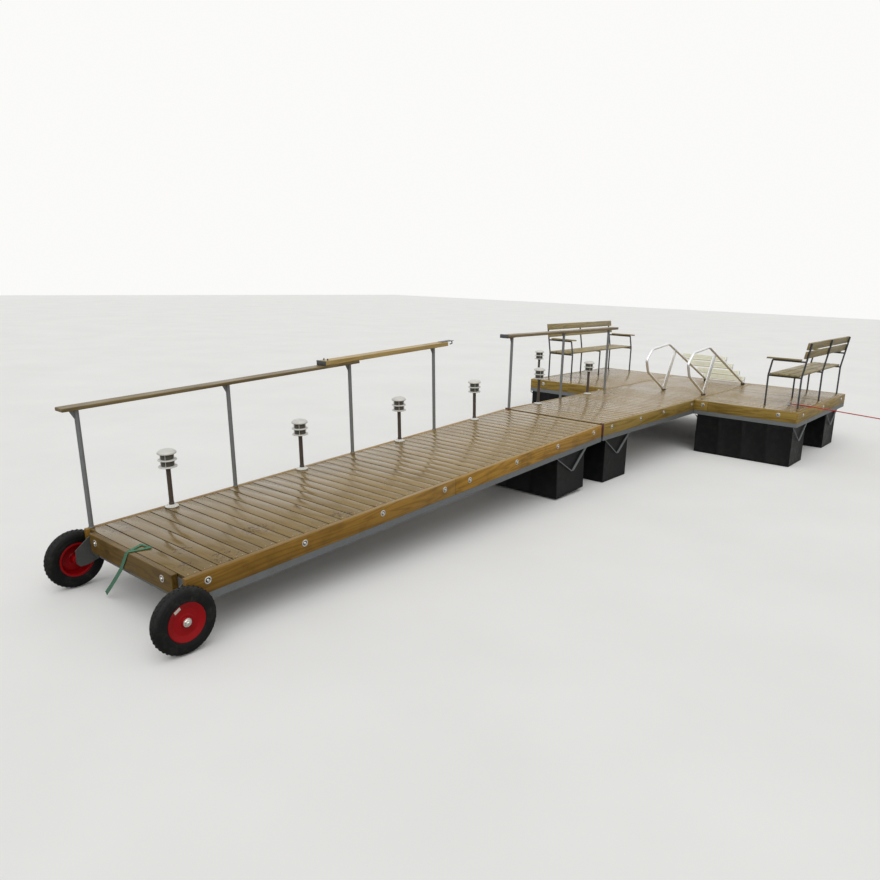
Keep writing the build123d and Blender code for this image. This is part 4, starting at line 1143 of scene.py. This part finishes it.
class JETTY_OT_wheels(bpy.types.Operator):
    """Barrow wheels with knobbly tyres and dished red rims"""

    bl_idname = "jetty.wheels"
    bl_label = "Wheels"

    def execute(self, context):
        dusty = (0.08, 0.08, 0.074)
        black = (0.0045, 0.0045, 0.0045)
        rubber = coated_finish("tyre_rubber", black, (0.45, 0.75), dusty, 0.5, 90, 0.001, 0.22)
        paint = context.scene.jetty_colours.rim_red
        red = coated_finish("rim_paint", paint, (0.34, 0.5), (0.12, 0.003, 0.005), 0.45, shine=0.22)
        bright = metal_finish("hub_steel", (0.74, 0.72, 0.68), 0.9, (0.18, 0.35), 0.1, 0.2)
        white = coated_finish("blank_label", (0.72, 0.7, 0.62), (0.4, 0.6), (0.4, 0.38, 0.3), 0.4)
        for name, side in (("left", 1), ("right", -1)):
            body = name + "_wheel"
            place = at(AXLE.x, side * AXLE.y, AXLE.z) @ turn(-90 * side, "X")
            fit(self.tyre(name + "_tyre"), body, rubber, [body + "_tyre"], place)
            fit(self.rim(name + "_rim"), body, red, [body + "_rim"], place)
            fit(self.label(name + "_blank_label"), body, white, matrix=place @ turn(33, "Z"))
            fit(self.hub_nut(name + "_hub_nut"), "gangway", bright, matrix=place)
        return {"FINISHED"}

    def tyre(self, name):
        """Round carcass with two rows of tread blocks and side ribs, about Z."""
        half = [(0.1282, 0.036), (0.135, 0.04), (0.145, 0.044), (0.163, 0.0468), (0.184, 0.0468),
                (0.202, 0.044), (0.2145, 0.038), (0.222, 0.029), (0.2262, 0.015), (0.2272, 0.0)]
        profile = half + [(radius, -height) for radius, height in reversed(half[:-1])] + half[:1]
        pieces = [turned("carcass", profile, 72, closed=True)]
        count = bpy.context.scene.jetty_sizes.tyre_knobs
        knob = timber("knob", (0.223, -0.006, 0.004), (0.2297, 0.006, 0.016), 0.0012, 1)
        shoulder = timber("shoulder", (0.2145, -0.0055, 0.021), (0.2255, 0.0055, 0.036), 0.0012, 1)
        for corner in shoulder.data.vertices:
            corner.co.x -= (corner.co.z - 0.02) * 0.45
        step = 360 / count
        near = [turn(step * index, "Z") for index in range(count)]
        far = [turn(step * (index + 0.5), "Z") @ Matrix.Scale(-1, 4, (0, 0, 1)) for index in range(count)]
        pieces += repeat(join("block", [knob, shoulder]), near + far)
        for radius, wide in ((0.162, 0.0462), (0.19, 0.0455)):
            for face in (1, -1):
                ring = [(-0.0015, wide), (0.0, wide + 0.0012), (0.0015, wide), (0.0, wide - 0.001),
                        (-0.0015, wide)]
                ring = [(radius + out, face * height) for out, height in ring]
                pieces.append(turned("side_rib", ring, 72, closed=True))
        return join(name, pieces)

    def rim(self, name):
        """Rim with rolled edges, a dished disc and a hub, about Z."""
        outer_face = [(0.1276, 0.04), (0.134, 0.04), (0.135, 0.0415), (0.134, 0.043), (0.129, 0.0425),
                      (0.095, 0.03), (0.09, 0.029), (0.056, 0.029), (0.052, 0.031), (0.038, 0.031)]
        hub = [(0.034, 0.04), (0.031, 0.0419), (0.0103, 0.0419), (0.0103, -0.0419), (0.029, -0.0419),
               (0.031, -0.04), (0.033, 0.018)]
        inner_face = [(0.04, 0.0235), (0.095, 0.025), (0.113, 0.031), (0.116, 0.027), (0.118, -0.0385),
                      (0.1215, -0.043), (0.134, -0.043), (0.135, -0.0415), (0.134, -0.04), (0.1276, -0.04)]
        return turned(name, outer_face + hub + inner_face + outer_face[:1], 64, closed=True)

    def label(self, name):
        """Blank label that lies on the dish of the rim."""
        patch = timber(name, (-0.024, 0.103, 0.0), (0.024, 0.131, 0.001), 0.0003, 1)
        for corner in patch.data.vertices:
            corner.co.z += 0.0304 + (corner.co.y - 0.095) * 0.3676
        return patch

    def hub_nut(self, name):
        """Washer, hex nut and bolt end on the axle, about Z."""
        washer = [(0.029, 0.043), (0.03, 0.0436), (0.03, 0.0452), (0.028, 0.046), (0.012, 0.046)]
        nut = upright("nut", 0, 0, 0.04555, 0.05705, 0.0235, 6, 0.0015, 2)
        end = turned("bolt_end", [(0.0095, 0.056), (0.0095, 0.06), (0.008, 0.0615)], 20)
        return join(name, [turned("washer", washer, 32), nut, end])


class JETTY_OT_strap(bpy.types.Operator):
    """Green webbing strap over the shore end"""

    bl_idname = "jetty.strap"
    bl_label = "Strap"

    thick = 0.0022

    def execute(self, context):
        green = woven_finish("green_webbing", context.scene.jetty_colours.strap_green, (0.3, 1.0, 0.6), 0.006)
        # Each band: points from the shore end's outer face and the deck, its direction across and its width.
        bands = (
            ([(0.143, 0.056, 0.0052), (0.097, 0.043, 0.0042), (0.037, 0.022, 0.0022),
              (0.01, 0.01, 0.0022), (-0.0015, 0.005, -0.01)], (0.12, 1, 0), 0.03),
            ([(0.156, -0.047, 0.0062), (0.107, -0.032, 0.0052), (0.037, -0.004, 0.0042),
              (0.01, 0.006, 0.0042), (-0.003, 0.003, -0.01)], (0.25, 1, 0), 0.03),
            ([(-0.0015, 0.004, -0.002), (-0.0035, 0.04, -0.055), (-0.0035, 0.084, -0.113),
              (-0.002, 0.125, -0.17)], (0, 1, 0.7), 0.03),
            ([(-0.002, 0.121, -0.16), (-0.004, 0.22, -0.262), (-0.003, 0.318, -0.353),
              (-0.004, 0.408, -0.438)], (0, 1, 1), 0.032))
        edge = Vector((SHORE - 0.047, 0, DECK))
        pieces = [self.ribbon([edge + Vector(point) for point in points], across, width)
                  for points, across, width in bands]
        low = DECK + self.thick
        bar = timber("fold", (SHORE + 0.092, -0.056, low), (SHORE + 0.112, 0.076, low + 0.004), 0.0015)
        for corner in bar.data.vertices:
            corner.co.x -= corner.co.y * 0.12
        on_gangway(join("webbing_strap", pieces + [bar]), "strap", green, "lifting_strap")
        return {"FINISHED"}

    def ribbon(self, points, across, width):
        """Flat band through points, with thickness."""
        clear_selection()
        count = len(points) - 1
        bpy.ops.mesh.primitive_grid_add(x_subdivisions=count, y_subdivisions=4, size=1)
        band = settle("band")
        across = Vector(across).normalized() * width
        for corner in band.data.vertices:
            share = (corner.co.x + 0.5) * count
            index = min(int(share + 1e-4), count - 1)
            corner.co = points[index].lerp(points[index + 1], share - index) + across * corner.co.y
        solid = band.modifiers.new("webbing", "SOLIDIFY")
        solid.thickness = self.thick
        solid.offset = 0
        bpy.ops.object.modifier_apply(modifier=solid.name)
        return facing_out(band)


class JETTY_OT_mooring(bpy.types.Operator):
    """Mooring cleat with its taut rope and the eye at the rope's end"""

    bl_idname = "jetty.mooring"
    bl_label = "Mooring"

    def execute(self, context):
        sizes = context.scene.jetty_sizes
        zinc = metal_finish("cleat_zinc", (0.4, 0.42, 0.44), 0.7, (0.35, 0.55))
        red = woven_finish("laid_rope", context.scene.jetty_colours.rope_red, (0.5, 1.0, 0.6), 0.009)
        x = WALKWAY + 3.43
        edge = -ARM_END
        y = edge + 0.31
        on_platform(self.cleat(x, y), "galvanised", zinc, "mooring_cleat")
        start = (x, y - 0.016, DECK + 0.016)
        end = (x, edge - 0.965, DECK - 0.046)
        points = [start, (x, edge + 0.06, DECK + 0.0098), (x, edge, DECK + 0.0082),
                  (x, edge - 0.06, DECK + 0.0046), end]
        rope = smooth_line("rope", points, sizes.rope_diameter / 2, 12, 4)
        rope.data.materials.append(red)
        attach(rope, "platform")
        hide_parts("mooring_rope")
        eye = on_platform(self.eye(Vector(end)), "rope", red, "mooring_rope_eye")
        return {"FINISHED"}

    def cleat(self, x, y):
        """Foot plate, waisted stem and a horn that tapers to both ends."""
        base = timber("cleat_base", (x - 0.035, y - 0.02, DECK), (x + 0.035, y + 0.02, DECK + 0.005), 0.0015)
        stem = turned("cleat_stem", [(0.013, 0.004), (0.009, 0.012), (0.0085, 0.026), (0.01, 0.034)], 20)
        taper = [(0.003, -0.065), (0.006, -0.06), (0.0078, -0.03)]
        far = [(radius, -height) for radius, height in reversed(taper)]
        horn = moved(turned("cleat_horn", taper + [(0.008, 0.0)] + far, 20), at(0, 0, 0.034) @ turn(90, "Y"))
        return join("cleat", [base] + [moved(piece, at(x, y, DECK)) for piece in (stem, horn)])

    def eye(self, end):
        """Ring of rope with three turns round its neck."""
        pieces = []
        for step, lean, size, thick, parts, sides in (
                (-0.034, None, 0.034, 0.0048, 40, 12), (-0.007, 0.35, 0.0082, 0.0045, 20, 10),
                (0.0, -0.3, 0.0082, 0.0045, 20, 10), (0.007, 0.35, 0.0082, 0.0045, 20, 10)):
            clear_selection()
            tip = 0 if lean is None else math.radians(90) + lean
            bpy.ops.mesh.primitive_torus_add(
                major_radius=size, minor_radius=thick, major_segments=parts, minor_segments=sides,
                location=end + Vector((0, step, 0)), rotation=(tip, 0, 0))
            pieces.append(settle("turn"))
        return join("rope_eye", pieces)


OPERATORS = (
    JETTY_OT_stage, JETTY_OT_mooring, JETTY_OT_decks, JETTY_OT_edge_planks, JETTY_OT_steelwork,
    JETTY_OT_floats, JETTY_OT_handrails, JETTY_OT_lamps, JETTY_OT_benches, JETTY_OT_ladder,
    JETTY_OT_wheels, JETTY_OT_strap)


class JETTY_PT_pieces(bpy.types.Panel):
    """Sizes, colours and pieces of the jetty"""

    bl_idname = "JETTY_PT_pieces"
    bl_label = "Jetty"
    bl_space_type = "VIEW_3D"
    bl_region_type = "UI"
    bl_category = "Jetty"

    def draw(self, context):
        for group in (context.scene.jetty_sizes, context.scene.jetty_colours):
            box = self.layout.box()
            for name in group.__annotations__:
                box.prop(group, name)
        for operator in OPERATORS:
            self.layout.operator(operator.bl_idname)


CLASSES = (JettySizes, JettyColours) + OPERATORS + (JETTY_PT_pieces,)


def register():
    """Register the sizes, colours, operators and panel."""
    for group in CLASSES:
        bpy.utils.register_class(group)
    bpy.types.Scene.jetty_sizes = PointerProperty(type=JettySizes)
    bpy.types.Scene.jetty_colours = PointerProperty(type=JettyColours)


def unregister():
    """Take the classes away again."""
    del bpy.types.Scene.jetty_colours
    del bpy.types.Scene.jetty_sizes
    for group in reversed(CLASSES):
        bpy.utils.unregister_class(group)


def main():
    """Build every piece."""
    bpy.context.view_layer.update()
    register()
    bpy.ops.jetty.stage()
    bpy.ops.jetty.mooring()
    bpy.ops.jetty.decks()
    bpy.ops.jetty.edge_planks()
    bpy.ops.jetty.steelwork()
    bpy.ops.jetty.floats()
    bpy.ops.jetty.handrails()
    bpy.ops.jetty.lamps()
    bpy.ops.jetty.benches()
    bpy.ops.jetty.ladder()
    bpy.ops.jetty.wheels()
    bpy.ops.jetty.strap()


if __name__ == "__main__":
    main()
